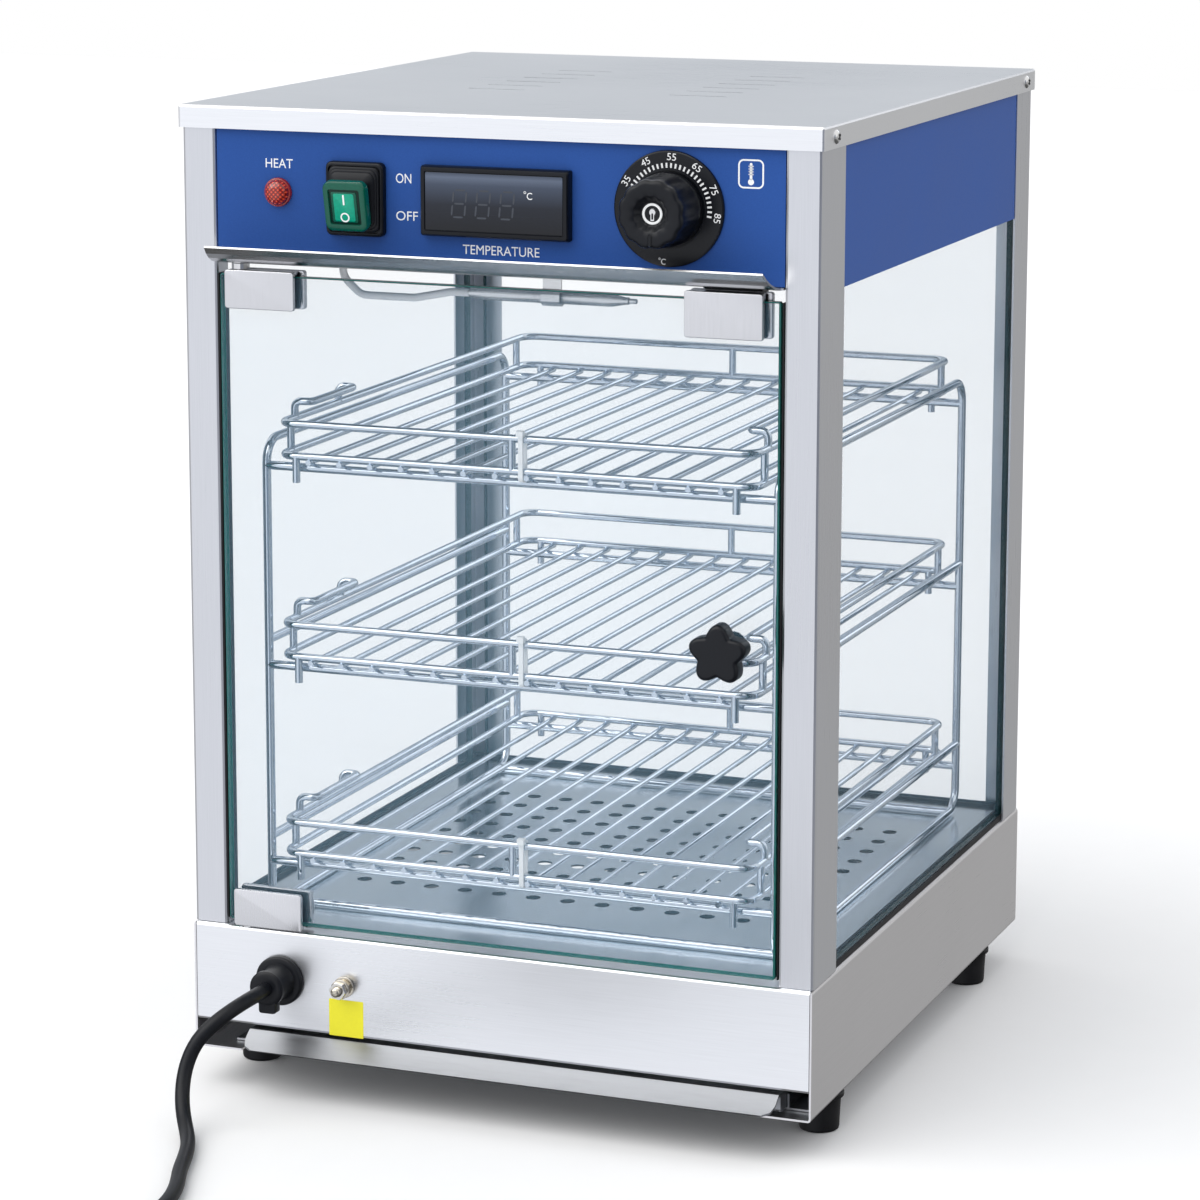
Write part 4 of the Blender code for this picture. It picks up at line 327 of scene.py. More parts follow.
def joined(name, pieces):
    """Several finished meshes as one piece, which keeps their materials."""
    shape = bmesh.new()
    materials = []
    for piece in pieces:
        mesh = piece.data
        first = len(shape.faces)
        shape.from_mesh(mesh)
        shape.faces.ensure_lookup_table()
        for item in mesh.materials:
            if item not in materials:
                materials.append(item)
        for face in shape.faces[first:]:
            face.material_index = materials.index(mesh.materials[face.material_index])
        bpy.data.objects.remove(piece, do_unlink=True)
    made = bpy.data.meshes.new(name)
    shape.to_mesh(made)
    shape.free()
    for item in materials:
        made.materials.append(item)
    return placed(name, made)


nickel = finish("nickelled_pin", (0.70, 0.68, 0.64), 1.0, 0.22, grain=500, vary=0.05)
moulded = finish("moulded_black", (0.004, 0.005, 0.008), roughness=0.36, Specular_IOR_Level=0.3, grain=1400,
    vary=0.2, bump=0.10, depth=0.00005, broad=40.0)
seat = Matrix.Translation(cord_line[-1] + Vector((0.0003, 0.0, 0.0))) @ Vector((1, 0, 0)).to_track_quat("Z",
    "Y").to_matrix().to_4x4()
plug_profile = [(0.0, 0.0500), (0.0146, 0.0500), (0.0151, 0.0520), (0.0178, 0.0520), (0.0185, 0.0512),
    (0.0185, 0.0372), (0.0178, 0.0355), (0.0162, 0.0300), (0.0150, 0.0230), (0.0120, 0.0195),
    (0.0082, 0.0176)]
for rib in range(5):
    low = 0.0168 - 0.0032 * rib
    wide = 0.0079 - 0.0004 * rib
    plug_profile += [(wide, low + 0.0004), (wide, low - 0.0012), (wide - 0.0012, low - 0.0015),
        (wide - 0.0012, low - 0.0025)]
plug_profile += [(0.0052, 0.0), (0.0, 0.0)]


def grips(angle, level):
    """Flat thumb pads on two sides of the plug's body."""
    return 1 - 0.05 * max(0.0, abs(math.sin(angle)) - 0.55) * (1.0 if 0.020 < level < 0.051 else 0.0)


plug = [lathe("plug_body", plug_profile, 48, seat, moulded, ring=grips)]
for side in (-0.0095, 0.0095):
    pin = seat @ Matrix.Translation((0.0, side, 0.0))
    plug.append(lathe("plug_pin", [(0.0, 0.0710), (0.0014, 0.0710), (0.0024, 0.0696), (0.0024, 0.0490),
        (0.0, 0.0490)], 20, pin, nickel))
plug = joined("plug", plug)
fit(plug, "cabinet", "black_rubber", "mains_plug")

# Base: four stainless panels folded from 1 mm sheet, with flanges at top and bottom and the grain drawn
# along each panel; a crumb tray slides out forwards on two folded rails.
panel_steel = finish("base_steel", (0.90, 0.91, 0.93), 1.0, 0.30, grain=(30, 1500, 2200), vary=0.05,
    bump=0.05, broad=6.0)
# The side panels take a darker copy of the same base steel: painted shade on the sides turned away from the
# light.
painted_shade_side_steel = finish("base_side_steel_painted_shade", (0.78, 0.77, 0.78), 1.0, 0.30, grain=(1500, 30, 2200), vary=0.05,
    bump=0.05, broad=6.0)
# Painted shade: a dark steel for the crumb tray, its rails, the heater bracket and the thermostat body,
# which sit in shadow under and behind the panel.
steel_painted_shade = finish("steel_painted_shade", (0.34, 0.35, 0.37), 1.0, 0.40, grain=(60, 700, 700), vary=0.08,
    gloss_vary=0.08, bump=0.08, broad=14.0)
dress(panel_steel, "base_front_panel", "base_rear_panel")
dress(painted_shade_side_steel, "base_side_left", "base_side_right")
dress(steel_painted_shade, "tray_rail_left", "tray_rail_right", "crumb_tray", "heater_bracket")

# Feet: four moulded rubber feet, screwed up under the side flanges through a recess in their undersides.
rubber = finish("foot_rubber", (0.006, 0.006, 0.008), roughness=0.55, Specular_IOR_Level=0.3, grain=700,
    vary=0.3, bump=0.2, broad=40.0)
for row, depth in (("front", 0.052), ("rear", 0.317)):
    for side, sign in (("left", -1), ("right", 1)):
        at = Matrix.Translation((sign * 0.155, CASE_FRONT + depth, 0.0))
        foot = lathe(f"rubber_foot_{row}_{side}", [(0.0, 0.0201), (0.0121, 0.0201), (0.0125, 0.0197),
            (0.0125, 0.0178), (0.0120, 0.0172), (0.0113, 0.0170), (0.0110, 0.0164), (0.0106, 0.0100),
            (0.01025, 0.0016), (0.0099, 0.0005), (0.0092, 0.0), (0.0052, 0.0), (0.0046, 0.0006),
            (0.0045, 0.0078), (0.0, 0.0078)], 48, at, rubber)
        fit(foot, "cabinet", "black_rubber", f"foot_{row}_{side}")

# Heater: a bent tubular element under the floor, on its bracket, fed from a ceramic terminal block, and the
# sleeved loom that climbs inside the left front post to the thermostat.


def rounded_path(points, radius, steps=8, closed=False):
    """Path with each corner replaced by an arc of the bend radius."""
    count, path = len(points), []
    for index, point in enumerate(points):
        here = Vector(point)
        if not closed and index in (0, count - 1):
            path.append(here)
            continue
        before = Vector(points[index - 1]) - here
        after = Vector(points[(index + 1) % count]) - here
        half = before.angle(after) / 2
        if half > math.radians(89.0):
            path.append(here)
            continue
        reach = min(radius / math.tan(half), before.length * 0.49, after.length * 0.49)
        bend = reach * math.tan(half)
        middle = here + (before.normalized() + after.normalized()).normalized() * bend / math.sin(half)
        start = here + before.normalized() * reach - middle
        end = here + after.normalized() * reach - middle
        swing = start.angle(end)
        for step in range(steps + 1):
            share = step / steps
            path.append(middle + (start * math.sin((1 - share) * swing)
                + end * math.sin(share * swing)) / math.sin(swing))
    return path


def as_mesh(piece):
    """Plain mesh, with closed ends, from a curve piece or one with modifiers."""
    name = piece.name
    sight = bpy.context.evaluated_depsgraph_get()
    mesh = bpy.data.meshes.new_from_object(piece.evaluated_get(sight), depsgraph=sight)
    bpy.data.objects.remove(piece, do_unlink=True)
    shape = bmesh.new()
    shape.from_mesh(mesh)
    bmesh.ops.remove_doubles(shape, verts=shape.verts, dist=0.00001)
    shape.to_mesh(mesh)
    shape.free()
    mesh.shade_smooth()
    mesh.set_sharp_from_angle(angle=math.radians(50.0))
    return placed(name, mesh)


scaled = finish("element_sheath", (0.34, 0.31, 0.29), 1.0, 0.45, grain=400, vary=0.25, bump=0.1, broad=20.0)
LEGS = (-0.105, -0.035, 0.035, 0.105)
corners = [(LEGS[0], 0.046), (LEGS[0], 0.325), (LEGS[1], 0.325), (LEGS[1], 0.075), (LEGS[2], 0.075),
    (LEGS[2], 0.325), (LEGS[3], 0.325), (LEGS[3], 0.046)]
element = tube("element", rounded_path([(x, CASE_FRONT + d, 0.057) for x, d in corners], 0.035, 14), 0.008,
    scaled, 5)
fit(element, "cabinet", "stainless", "heating_element")
ceramic = finish("ceramic", (0.78, 0.77, 0.72), roughness=0.35, grain=500, vary=0.04)
sleeving = finish("white_sleeving", (0.80, 0.81, 0.84), roughness=0.5, grain=600, vary=0.05, bump=0.1)
dress(ceramic, "terminal_block")
dress(sleeving, "wiring_loom")

# Floor of the chamber: one stainless sheet, punched with a grid of 8 mm holes that let the warm air up.
FLOOR = {"Left": -0.1588, "Front": CASE_FRONT + 0.0145, "Width": 0.3176, "Depth": 0.3498,
    "Hole Diameter": 0.008, "Columns": 13, "Rows": 10, "Pitch X": 0.0194, "Pitch Y": 0.0215,
    "First Row": CASE_FRONT + 0.100}


def group(name, inputs):
    """Empty geometry tree with named inputs, given as name: socket kind."""
    tree = bpy.data.node_groups.new(name, "GeometryNodeTree")
    tree.interface.new_socket(name="Geometry", in_out="INPUT", socket_type="NodeSocketGeometry")
    for key, kind in inputs.items():
        tree.interface.new_socket(name=key, in_out="INPUT", socket_type=kind)
    tree.interface.new_socket(name="Geometry", in_out="OUTPUT", socket_type="NodeSocketGeometry")
    return tree, add(tree, "NodeGroupInput").outputs


def ended(tree, geometry, material):
    """Realize Instances and Set Material, at the end of a tree."""
    real = add(tree, "GeometryNodeRealizeInstances", {"Geometry": geometry}).outputs["Geometry"]
    painted = add(tree, "GeometryNodeSetMaterial", {"Geometry": real,
        "Material": material}).outputs["Geometry"]
    add(tree, "NodeGroupOutput", {"Geometry": painted})


def grown(piece, tree, values):
    """Give a piece a geometry tree, with these input values."""
    modifier = piece.modifiers.new("form", "NODES")
    modifier.node_group = tree
    for item in tree.interface.items_tree:
        if item.in_out == "INPUT" and item.name in values:
            modifier[item.identifier] = values[item.name]
    return piece


FLOAT, WHOLE, MATTER = "NodeSocketFloat", "NodeSocketInt", "NodeSocketMaterial"
punched, at = group("punched_sheet", {"Left": FLOAT, "Front": FLOAT, "Width": FLOAT, "Depth": FLOAT,
    "Hole Diameter": FLOAT, "Columns": WHOLE, "Rows": WHOLE, "Pitch X": FLOAT, "Pitch Y": FLOAT,
    "First Row": FLOAT, "Finish": MATTER})


def maths(tree, operation, first, second=0.0):
    """One sum inside a tree."""
    return add(tree, "ShaderNodeMath", {0: first, 1: second}, operation=operation).outputs[0]


def vector(tree, **axes):
    """Vector inside a tree, from its X, Y and Z."""
    return add(tree, "ShaderNodeCombineXYZ", axes).outputs["Vector"]


sheet = add(punched, "GeometryNodeCurvePrimitiveQuadrilateral",
    {"Width": at["Width"], "Height": at["Depth"]}).outputs["Curve"]
middle_y = maths(punched, "ADD", at["Front"], maths(punched, "MULTIPLY", at["Depth"], 0.5))
sheet = add(punched, "GeometryNodeTransform", {"Geometry": sheet,
    "Translation": vector(punched, Y=middle_y)}).outputs["Geometry"]
across = maths(punched, "MULTIPLY", at["Pitch X"], maths(punched, "SUBTRACT", at["Columns"], 1.0))
along = maths(punched, "MULTIPLY", at["Pitch Y"], maths(punched, "SUBTRACT", at["Rows"], 1.0))
grid = add(punched, "GeometryNodeMeshGrid", {"Size X": across, "Size Y": along, "Vertices X": at["Columns"],
    "Vertices Y": at["Rows"]}).outputs["Mesh"]
rows_y = maths(punched, "ADD", at["First Row"], maths(punched, "MULTIPLY", along, 0.5))
grid = add(punched, "GeometryNodeTransform", {"Geometry": grid,
    "Translation": vector(punched, Y=rows_y)}).outputs["Geometry"]
hole = add(punched, "GeometryNodeCurvePrimitiveCircle", {"Resolution": 28,
    "Radius": maths(punched, "MULTIPLY", at["Hole Diameter"], 0.5)}).outputs["Curve"]
holes = add(punched, "GeometryNodeInstanceOnPoints", {"Points": grid,
    "Instance": hole}).outputs["Instances"]
outline = add(punched, "GeometryNodeJoinGeometry")
punched.links.new(sheet, outline.inputs["Geometry"])
punched.links.new(add(punched, "GeometryNodeRealizeInstances", {"Geometry": holes}).outputs["Geometry"],
    outline.inputs["Geometry"])
face = add(punched, "GeometryNodeFillCurve", {"Curve": outline.outputs["Geometry"]},
    mode="TRIANGLES").outputs["Mesh"]
ended(punched, face, at["Finish"])
floor_steel = finish("floor_steel", (0.66, 0.70, 0.73), 1.0, 0.20, grain=(60, 18, 60), vary=0.03, bump=0.01,
    broad=8.0)
sheet_object = solid("perforated_floor", bmesh.new(), floor_steel)
grown(sheet_object, punched, {**FLOOR, "Finish": floor_steel})
sheet_object = as_mesh(sheet_object)
shape = bmesh.new()
shape.from_mesh(sheet_object.data)
for face in shape.faces:
    if face.normal.z < 0:
        face.normal_flip()
top = list(shape.faces)
bmesh.ops.translate(shape, vec=(0.0, 0.0, 0.0883), verts=shape.verts)
lower = bmesh.ops.duplicate(shape, geom=list(shape.verts) + list(shape.edges) + top)
under = [g for g in lower["geom"] if isinstance(g, bmesh.types.BMFace)]
bmesh.ops.translate(shape, vec=(0.0, 0.0, -0.001), verts=[g for g in lower["geom"]
    if isinstance(g, bmesh.types.BMVert)])
bmesh.ops.reverse_faces(shape, faces=under)
rims = [e for e in shape.edges if e.is_boundary]
pairs = {}
for edge in rims:
    key = tuple(sorted((round(v.co.x, 6), round(v.co.y, 6)) for v in edge.verts))
    pairs.setdefault(key, []).append(edge)
for first, second in (pair for pair in pairs.values() if len(pair) == 2):
    a, b = first.verts
    c, d = second.verts
    if (c.co.xy - a.co.xy).length > (d.co.xy - a.co.xy).length:
        c, d = d, c
    shape.faces.new((a, b, d, c))
bmesh.ops.recalc_face_normals(shape, faces=shape.faces)
bpy.data.objects.remove(sheet_object, do_unlink=True)
sheet_object = solid("perforated_floor", shape, floor_steel)
fit(sheet_object, "cabinet", "stainless", "floor_plate")

# Corner posts: four angles folded from stainless sheet, grain drawn up and down; the front pair have a jamb.
post_steel = finish("post_steel", (0.70, 0.71, 0.74), 1.0, 0.30, grain=(1700, 1700, 30), vary=0.05,
    bump=0.05, broad=5.0)
dress(post_steel, "post_front_left", "post_front_right", "post_rear_left", "post_rear_right")

# Glazing: 4 mm toughened panes on three sides in a black rubber channel; the cut edges show green.
# The clear finish is mostly see-through, and its high index keeps the gloss of the surface.
PANE_LOW, PANE_HIGH = 0.0884, 0.4400
clear = finish("clear_pane", (0.22, 0.42, 0.58), roughness=0.03, grain=3, vary=0.02, gloss_vary=0.01,
    broad=4.0, Alpha=0.10, IOR=2.0)
cut_edge = finish("green_edge", (0.015, 0.15, 0.135), roughness=0.12, grain=300, vary=0.25)
# The side and rear panes' cut edges take a darker copy of the green edge: painted shade.
painted_shade_edge = finish("green_edge_painted_shade", (0.008, 0.040, 0.040), roughness=0.15, grain=300, vary=0.25)


def pane(name, low, high, bevel, node, body, edge):
    """Glass sheet with ground edges, and its cut edges in their own green."""
    low, high = Vector(low), Vector(high)
    shape = bmesh.new()
    bmesh.ops.create_cube(shape, size=1.0)
    bmesh.ops.scale(shape, vec=high - low, verts=shape.verts)
    bmesh.ops.translate(shape, vec=(low + high) / 2, verts=shape.verts)
    bmesh.ops.bevel(shape, geom=list(shape.edges), offset=bevel, segments=2, affect="EDGES")
    areas = sorted(face.calc_area() for face in shape.faces)
    for face in shape.faces:
        face.material_index = 0 if face.calc_area() > areas[-2] * 0.9 else 1
    piece = solid(name, shape, (clear, edge), 30.0)
    return fit(piece, body, "clear_glass", node)


for side, sign in (("left", -1), ("right", 1)):
    ends = sorted((sign * 0.1606, sign * 0.1646))
    pane(f"side_pane_{side}", (ends[0], CASE_FRONT + 0.0286, PANE_LOW),
        (ends[1], CASE_FRONT + 0.3530, PANE_HIGH), 0.0005, f"side_glass_{side}", "cabinet", painted_shade_edge)
pane("rear_pane", (-0.1583, CASE_FRONT + 0.3661, PANE_LOW), (0.1583, CASE_FRONT + 0.3701, PANE_HIGH),
    0.0005, "rear_glass", "cabinet", painted_shade_edge)
dress(rubber, "glass_seal")

# Ceiling: stainless sheet that ends forwards in a flared lip; the temperature probe hangs below it in a
# spring clip, on a sleeved lead that comes down through a hole.
lip_steel = finish("ceiling_steel", (0.72, 0.72, 0.73), 1.0, 0.24, grain=(40, 1300, 1300), vary=0.07,
    gloss_vary=0.06, bump=0.05, broad=8.0)
bright_steel = finish("bright_steel", (0.80, 0.80, 0.80), 1.0, 0.20, grain=(60, 900, 900), vary=0.06,
    bump=0.04)
dress(lip_steel, "ceiling_plate")
dress(bright_steel, "probe_clip")
PROBE_Y, PROBE_Z = CASE_FRONT + 0.060, 0.4125
lie = Matrix.Translation((-0.037, PROBE_Y, PROBE_Z)) @ Matrix.Rotation(math.pi / 2, 4, "Y")
probe = lathe("probe", [(0.0, 0.0900), (0.0009, 0.0900), (0.0013, 0.0896), (0.0013, 0.0862),
    (0.0019, 0.0856), (0.0019, 0.0840), (0.0032, 0.0770), (0.00325, 0.0760), (0.00325, 0.0500),
    (0.0031, 0.0498), (0.0031, 0.0494), (0.00325, 0.0492), (0.00325, 0.0090), (0.0031, 0.0078),
    (0.0021, 0.0), (0.0, 0.0)], 32, lie, bright_steel)
fit(probe, "cabinet", "stainless", "sensor_probe")
lead_line = softened(rounded_path([(-0.087, PROBE_Y, 0.444), (-0.107, PROBE_Y, 0.444),
    (-0.107, PROBE_Y, 0.4175), (-0.097, PROBE_Y, 0.4085), (-0.067, PROBE_Y, 0.4085),
    (-0.047, PROBE_Y, PROBE_Z), (-0.0373, PROBE_Y, PROBE_Z)], 0.009, 4), 3)
lead = as_mesh(tube("lead", lead_line, 0.0040, sleeving, 4))
fit(lead, "cabinet", "white_sleeve", "sensor_lead")

# Control panel and upper bands: sheet with a satin royal-blue powder coat, screen-printed in white.
coat = finish("blue_coat", (0.022, 0.078, 0.300), roughness=0.40, grain=1500, vary=0.10, gloss_vary=0.06,
    bump=0.12, depth=0.00006, broad=7.0, IOR=1.22)
dress(coat, "control_panel", "side_band_left", "side_band_right", "rear_band")
ink = finish("white_ink", (0.86, 0.87, 0.88), roughness=0.5, grain=900, vary=0.04)
PANEL_Y = CASE_FRONT + 0.003
INK = 0.00006
SEAT_Y = PANEL_Y - 0.0003
ICON_X, ICON_Z = 0.13165, 0.48445


def printed(words, box, y=PANEL_Y, turn=0.0):
    """Lettering fitted to a box (left, right, bottom, top) on a face that looks forwards."""
    text = bpy.data.curves.new("words", "FONT")
    text.body = words
    text.extrude = INK / 2
    text.resolution_u = 4
    text.materials.append(ink)
    made = as_mesh(placed("words", text))
    xs = [v.co.x for v in made.data.vertices]
    ys = [v.co.y for v in made.data.vertices]
    left, right_, bottom, top_ = box
    scale = Matrix.Diagonal(((right_ - left) / (max(xs) - min(xs)), (top_ - bottom) / (max(ys) - min(ys)),
        1.0, 1.0))
    home = Matrix.Translation((-(max(xs) + min(xs)) / 2, -(max(ys) + min(ys)) / 2, 0.0))
    there = Matrix.Translation(((left + right_) / 2, y - INK / 2, (bottom + top_) / 2))
    made.data.transform(there @ Matrix.Rotation(math.pi / 2, 4, "X") @ Matrix.Rotation(turn, 4, "Z") @ scale
        @ home)
    return made


def flat(name, loops, y, thickness, material):
    """Flat shape from outlines in (x, z), inner ones being holes, standing on a face that looks forwards."""
    curve = bpy.data.curves.new(name, "CURVE")
    curve.dimensions = "2D"
    curve.fill_mode = "BOTH"
    curve.extrude = thickness / 2
    for loop in loops:
        spline_in(curve, [(x, z, 0.0) for x, z in loop], closed=True)
    curve.materials.append(material)
    made = as_mesh(placed(name, curve))
    made.data.transform(Matrix.Translation((0.0, y - thickness / 2, 0.0))
        @ Matrix.Rotation(math.pi / 2, 4, "X"))
    return made


def frame_line(x, z, wide, tall, corner, steps=6):
    """Rounded rectangle round a place on a face, as (x, z) points."""
    line = rounded_path([(x - wide / 2, z - tall / 2, 0.0), (x + wide / 2, z - tall / 2, 0.0),
        (x + wide / 2, z + tall / 2, 0.0), (x - wide / 2, z + tall / 2, 0.0)], corner, steps, closed=True)
    return [(p.x, p.y) for p in line]


def disc_line(x, z, diameter, steps=32):
    """Circle round a place on a face, as (x, z) points."""
    return [(x + diameter / 2 * math.cos(TURN * k / steps), z + diameter / 2 * math.sin(TURN * k / steps))
        for k in range(steps)]


words = [printed("HEAT", (-0.1222, -0.1074, 0.4780, 0.4825)),
    printed("ON", (-0.0518, -0.0436, 0.4730, 0.4777)), printed("OFF", (-0.0518, -0.0402, 0.4547, 0.4593)),
    printed("TEMPERATURE", (-0.0164, 0.0238, 0.4397, 0.4443))]
words.append(flat("icon_frame", [frame_line(ICON_X, ICON_Z, 0.0129, 0.0139, 0.0028),
    frame_line(ICON_X, ICON_Z, 0.0113, 0.0123, 0.0020)], PANEL_Y, INK, ink))
words.append(flat("icon_bulb", [disc_line(ICON_X, 0.4806, 0.0030)], PANEL_Y, INK, ink))
words.append(flat("icon_stem", [frame_line(ICON_X, 0.4857, 0.0013, 0.0080, 0.0006)], PANEL_Y, INK, ink))
for k in range(4):
    words.append(flat("icon_mark", [frame_line(ICON_X, 0.4842 + 0.0013 * k, 0.0027, 0.00035, 0.0001, 2)],
        PANEL_Y, INK, ink))
fit(joined("panel_printing", words), "cabinet", "blue_coat")

# Indicator lamp: red moulded lens with a diamond-cut inside, in a thin bright bezel.
ahead_of = Matrix.Rotation(math.pi / 2, 4, "X")


def on_panel(x, z):
    """Turned pieces that look forwards from the panel."""
    return Matrix.Translation((x, SEAT_Y, z)) @ ahead_of


lens_red = bpy.data.materials.new("lamp_lens")
lens_red.use_nodes = True
tree = lens_red.node_tree
shader = tree.nodes["Principled BSDF"]
spot = add(tree, "ShaderNodeMapping", {"Vector": add(tree, "ShaderNodeTexCoord").outputs["Object"],
    "Rotation": (0.0, math.pi / 4, 0.0), "Scale": (620, 1, 620)}).outputs["Vector"]
cells = add(tree, "ShaderNodeSeparateXYZ", {"Vector": spot})
wave_a = maths(tree, "PINGPONG", cells.outputs["X"], 0.5)
wave_b = maths(tree, "PINGPONG", cells.outputs["Z"], 0.5)
cells = maths(tree, "MULTIPLY", wave_a, wave_b)
tree.links.new(ramp(tree, cells, [(0.0, (0.12, 0.006, 0.004)), (0.10, (0.45, 0.02, 0.008)),
    (0.25, (0.95, 0.16, 0.05))]), shader.inputs["Base Color"])
shader.inputs["Roughness"].default_value = 0.12
shader.inputs["Coat Weight"].default_value = 0.6
raised = add(tree, "ShaderNodeBump", {"Height": cells, "Strength": 0.3, "Distance": 0.0004})
tree.links.new(raised.outputs["Normal"], shader.inputs["Normal"])
rim_red = finish("lamp_rim_red", (0.30, 0.012, 0.006), roughness=0.18, grain=500, vary=0.2, Coat_Weight=0.4)
lamp_at = on_panel(-0.1152, 0.4660)
lamp = joined("lamp", [lathe("lens", [(0.0, 0.0060), (0.0018, 0.0059), (0.0034, 0.0055), (0.0048, 0.0048),
    (0.0058, 0.0037), (0.0063, 0.0024), (0.0063, 0.0008), (0.0, 0.0008)], 40, lamp_at, lens_red),
    lathe("lamp_rim", [(0.0064, 0.0019), (0.0070, 0.0017), (0.00725, 0.0010), (0.00725, 0.0), (0.0050, 0.0),
    (0.0050, -0.0240), (0.0046, -0.0240), (0.0046, 0.0007), (0.0064, 0.0007)], 40, lamp_at, rim_red)])
fit(lamp, "cabinet", "red_lens", "heat_lamp")

# Rocker switch: black housing with a ribbed sealing boot, and a translucent green cap that rocks
# through 24 degrees.
black = finish("black_plastic", (0.003, 0.004, 0.007), roughness=0.32, Specular_IOR_Level=0.3, grain=1200,
    vary=0.25, bump=0.08, depth=0.00005, broad=30.0)
SWITCH_X, SWITCH_Z = -0.0725, 0.4645


def loft(name, rings, material, sharp=35.0):
    """Closed piece through outlines of equal counts, given as lists of points, capped at both ends."""
    shape = bmesh.new()
    rows = [[shape.verts.new(point) for point in ring] for ring in rings]
    for lower, upper in zip(rows, rows[1:]):
        skin(shape, lower, upper)
    shape.faces.new(rows[0][::-1])
    shape.faces.new(rows[-1])
    bmesh.ops.recalc_face_normals(shape, faces=shape.faces)
    return solid(name, shape, material, sharp)


def stack(name, x, z, levels, material, matrix=Matrix(), sharp=35.0):
    """Loft of rounded rectangles: levels are (y, width, height, corner), from the back forwards."""
    rings = []
    for y, wide, tall, corner in levels:
        rings.append([matrix @ Vector((px, y, pz)) for px, pz in frame_line(x, z, wide, tall, corner)])
    return loft(name, rings, material, sharp)


face_y = SEAT_Y
boot = [(face_y - 0.0034, 0.0270, 0.0320, 0.0040)]
for rib, (wide, tall) in enumerate(((0.0270, 0.0318), (0.0254, 0.0292), (0.0238, 0.0266))):
    y = face_y - 0.0040 - 0.0009 * rib
    boot += [(y, wide - 0.0012, tall - 0.0012, 0.004), (y - 0.0002, wide, tall, 0.004),
        (y - 0.0006, wide, tall, 0.004), (y - 0.0009, wide - 0.0012, tall - 0.0012, 0.0035)]
boot.append((face_y - 0.0080, 0.0150, 0.0150, 0.003))
housing = joined("rocker_housing", [stack("rim", SWITCH_X, SWITCH_Z,
    [(face_y, 0.0310, 0.0365, 0.0030), (face_y - 0.0028, 0.0310, 0.0365, 0.0030),
    (face_y - 0.0037, 0.0302, 0.0357, 0.0030), (face_y - 0.0040, 0.0292, 0.0347, 0.0026),
    (face_y - 0.0040, 0.0280, 0.0330, 0.0024), (face_y - 0.0026, 0.0276, 0.0326, 0.0024)], black),
    stack("boot", SWITCH_X, SWITCH_Z, boot, black, sharp=60.0),
    stack("body", SWITCH_X, SWITCH_Z, [(face_y + 0.0280, 0.0240, 0.0290, 0.001),
    (face_y, 0.0240, 0.0290, 0.001)], black)])
fit(housing, "cabinet", "black_plastic", "switch_housing")
green = finish("green_cap", (0.000, 0.085, 0.052), roughness=0.20, grain=500, vary=0.12, Coat_Weight=0.3,
    Specular_IOR_Level=0.3)
# Painted light: the window is a lighter copy of the cap's green.
green_painted_light = finish("green_window_painted_light", (0.000, 0.330, 0.205), roughness=0.14, grain=500, vary=0.18,
    Coat_Weight=0.3, Specular_IOR_Level=0.3)
# Painted shade: the gutter round the plateau takes a darker copy of the cap's green.
green_painted_shade = finish("green_shadow", (0.000, 0.022, 0.014), roughness=0.25, grain=500, vary=0.12,
    Specular_IOR_Level=0.3)
CAP_TILT, CAP_DROP, MARK_Y = math.radians(12.0), -0.0012, -0.0083
pivot = Matrix.Translation((SWITCH_X, CASE_FRONT - 0.0050, SWITCH_Z)) @ Matrix.Rotation(CAP_TILT, 4, "X")
cap = [stack("cap", 0.0, CAP_DROP, [(-0.0015, 0.0200, 0.0225, 0.0036), (-0.0028, 0.0216, 0.0240, 0.0038),
    (-0.0034, 0.0228, 0.0252, 0.0040), (-0.0068, 0.0228, 0.0252, 0.0040), (-0.0077, 0.0218, 0.0242, 0.0036),
    (-0.0080, 0.0204, 0.0228, 0.0030), (-0.0080, 0.0168, 0.0180, 0.0012),
    (-0.0074, 0.0164, 0.0176, 0.0010)], green, matrix=pivot)]
for name, y, wide, tall, material in (("gutter", -0.0074, 0.0163, 0.0175, green_painted_shade),
        ("plateau", -0.0079, 0.0134, 0.0154, green), ("window", -0.0082, 0.0109, 0.0140, green_painted_light)):
    cap.append(stack(name, 0.0, CAP_DROP, [(y + 0.0006, wide, tall, 0.0010), (y, wide, tall, 0.0010),
        (y - 0.0001, wide - 0.0003, tall - 0.0003, 0.0009)], material, matrix=pivot))
marks = [flat("mark_on", [frame_line(0.0, CAP_DROP + 0.0039, 0.0009, 0.0052, 0.0003, 3)], MARK_Y, 2 * INK,
    ink), flat("mark_off", [disc_line(0.0, CAP_DROP - 0.0050, 0.0048),
    disc_line(0.0, CAP_DROP - 0.0050, 0.0034)], MARK_Y, 2 * INK, ink)]
for mark in marks:
    mark.data.transform(pivot)
fit(joined("rocker", [*cap, *marks]), "power_rocker", "green_rocker", "switch_rocker")

# Thermometer: a black snap-in housing and a smoked window, behind which the unlit digits just show.
METER_X, METER_Z = 0.0020, 0.4655
surround = joined("thermometer_surround", [stack("surround", METER_X, METER_Z,
    [(face_y, 0.0780, 0.0345, 0.0010), (face_y - 0.0030, 0.0780, 0.0345, 0.0010),
    (face_y - 0.0046, 0.0772, 0.0337, 0.0012), (face_y - 0.0054, 0.0760, 0.0325, 0.0012),
    (face_y - 0.0055, 0.0750, 0.0315, 0.0012), (face_y - 0.0055, 0.0728, 0.0292, 0.0008),
    (face_y - 0.0049, 0.0722, 0.0286, 0.0008)], black), stack("case", METER_X, METER_Z,
    [(face_y + 0.0250, 0.0710, 0.0285, 0.0010), (face_y, 0.0710, 0.0285, 0.0010)], black)])
fit(surround, "cabinet", "black_plastic", "thermometer_housing")
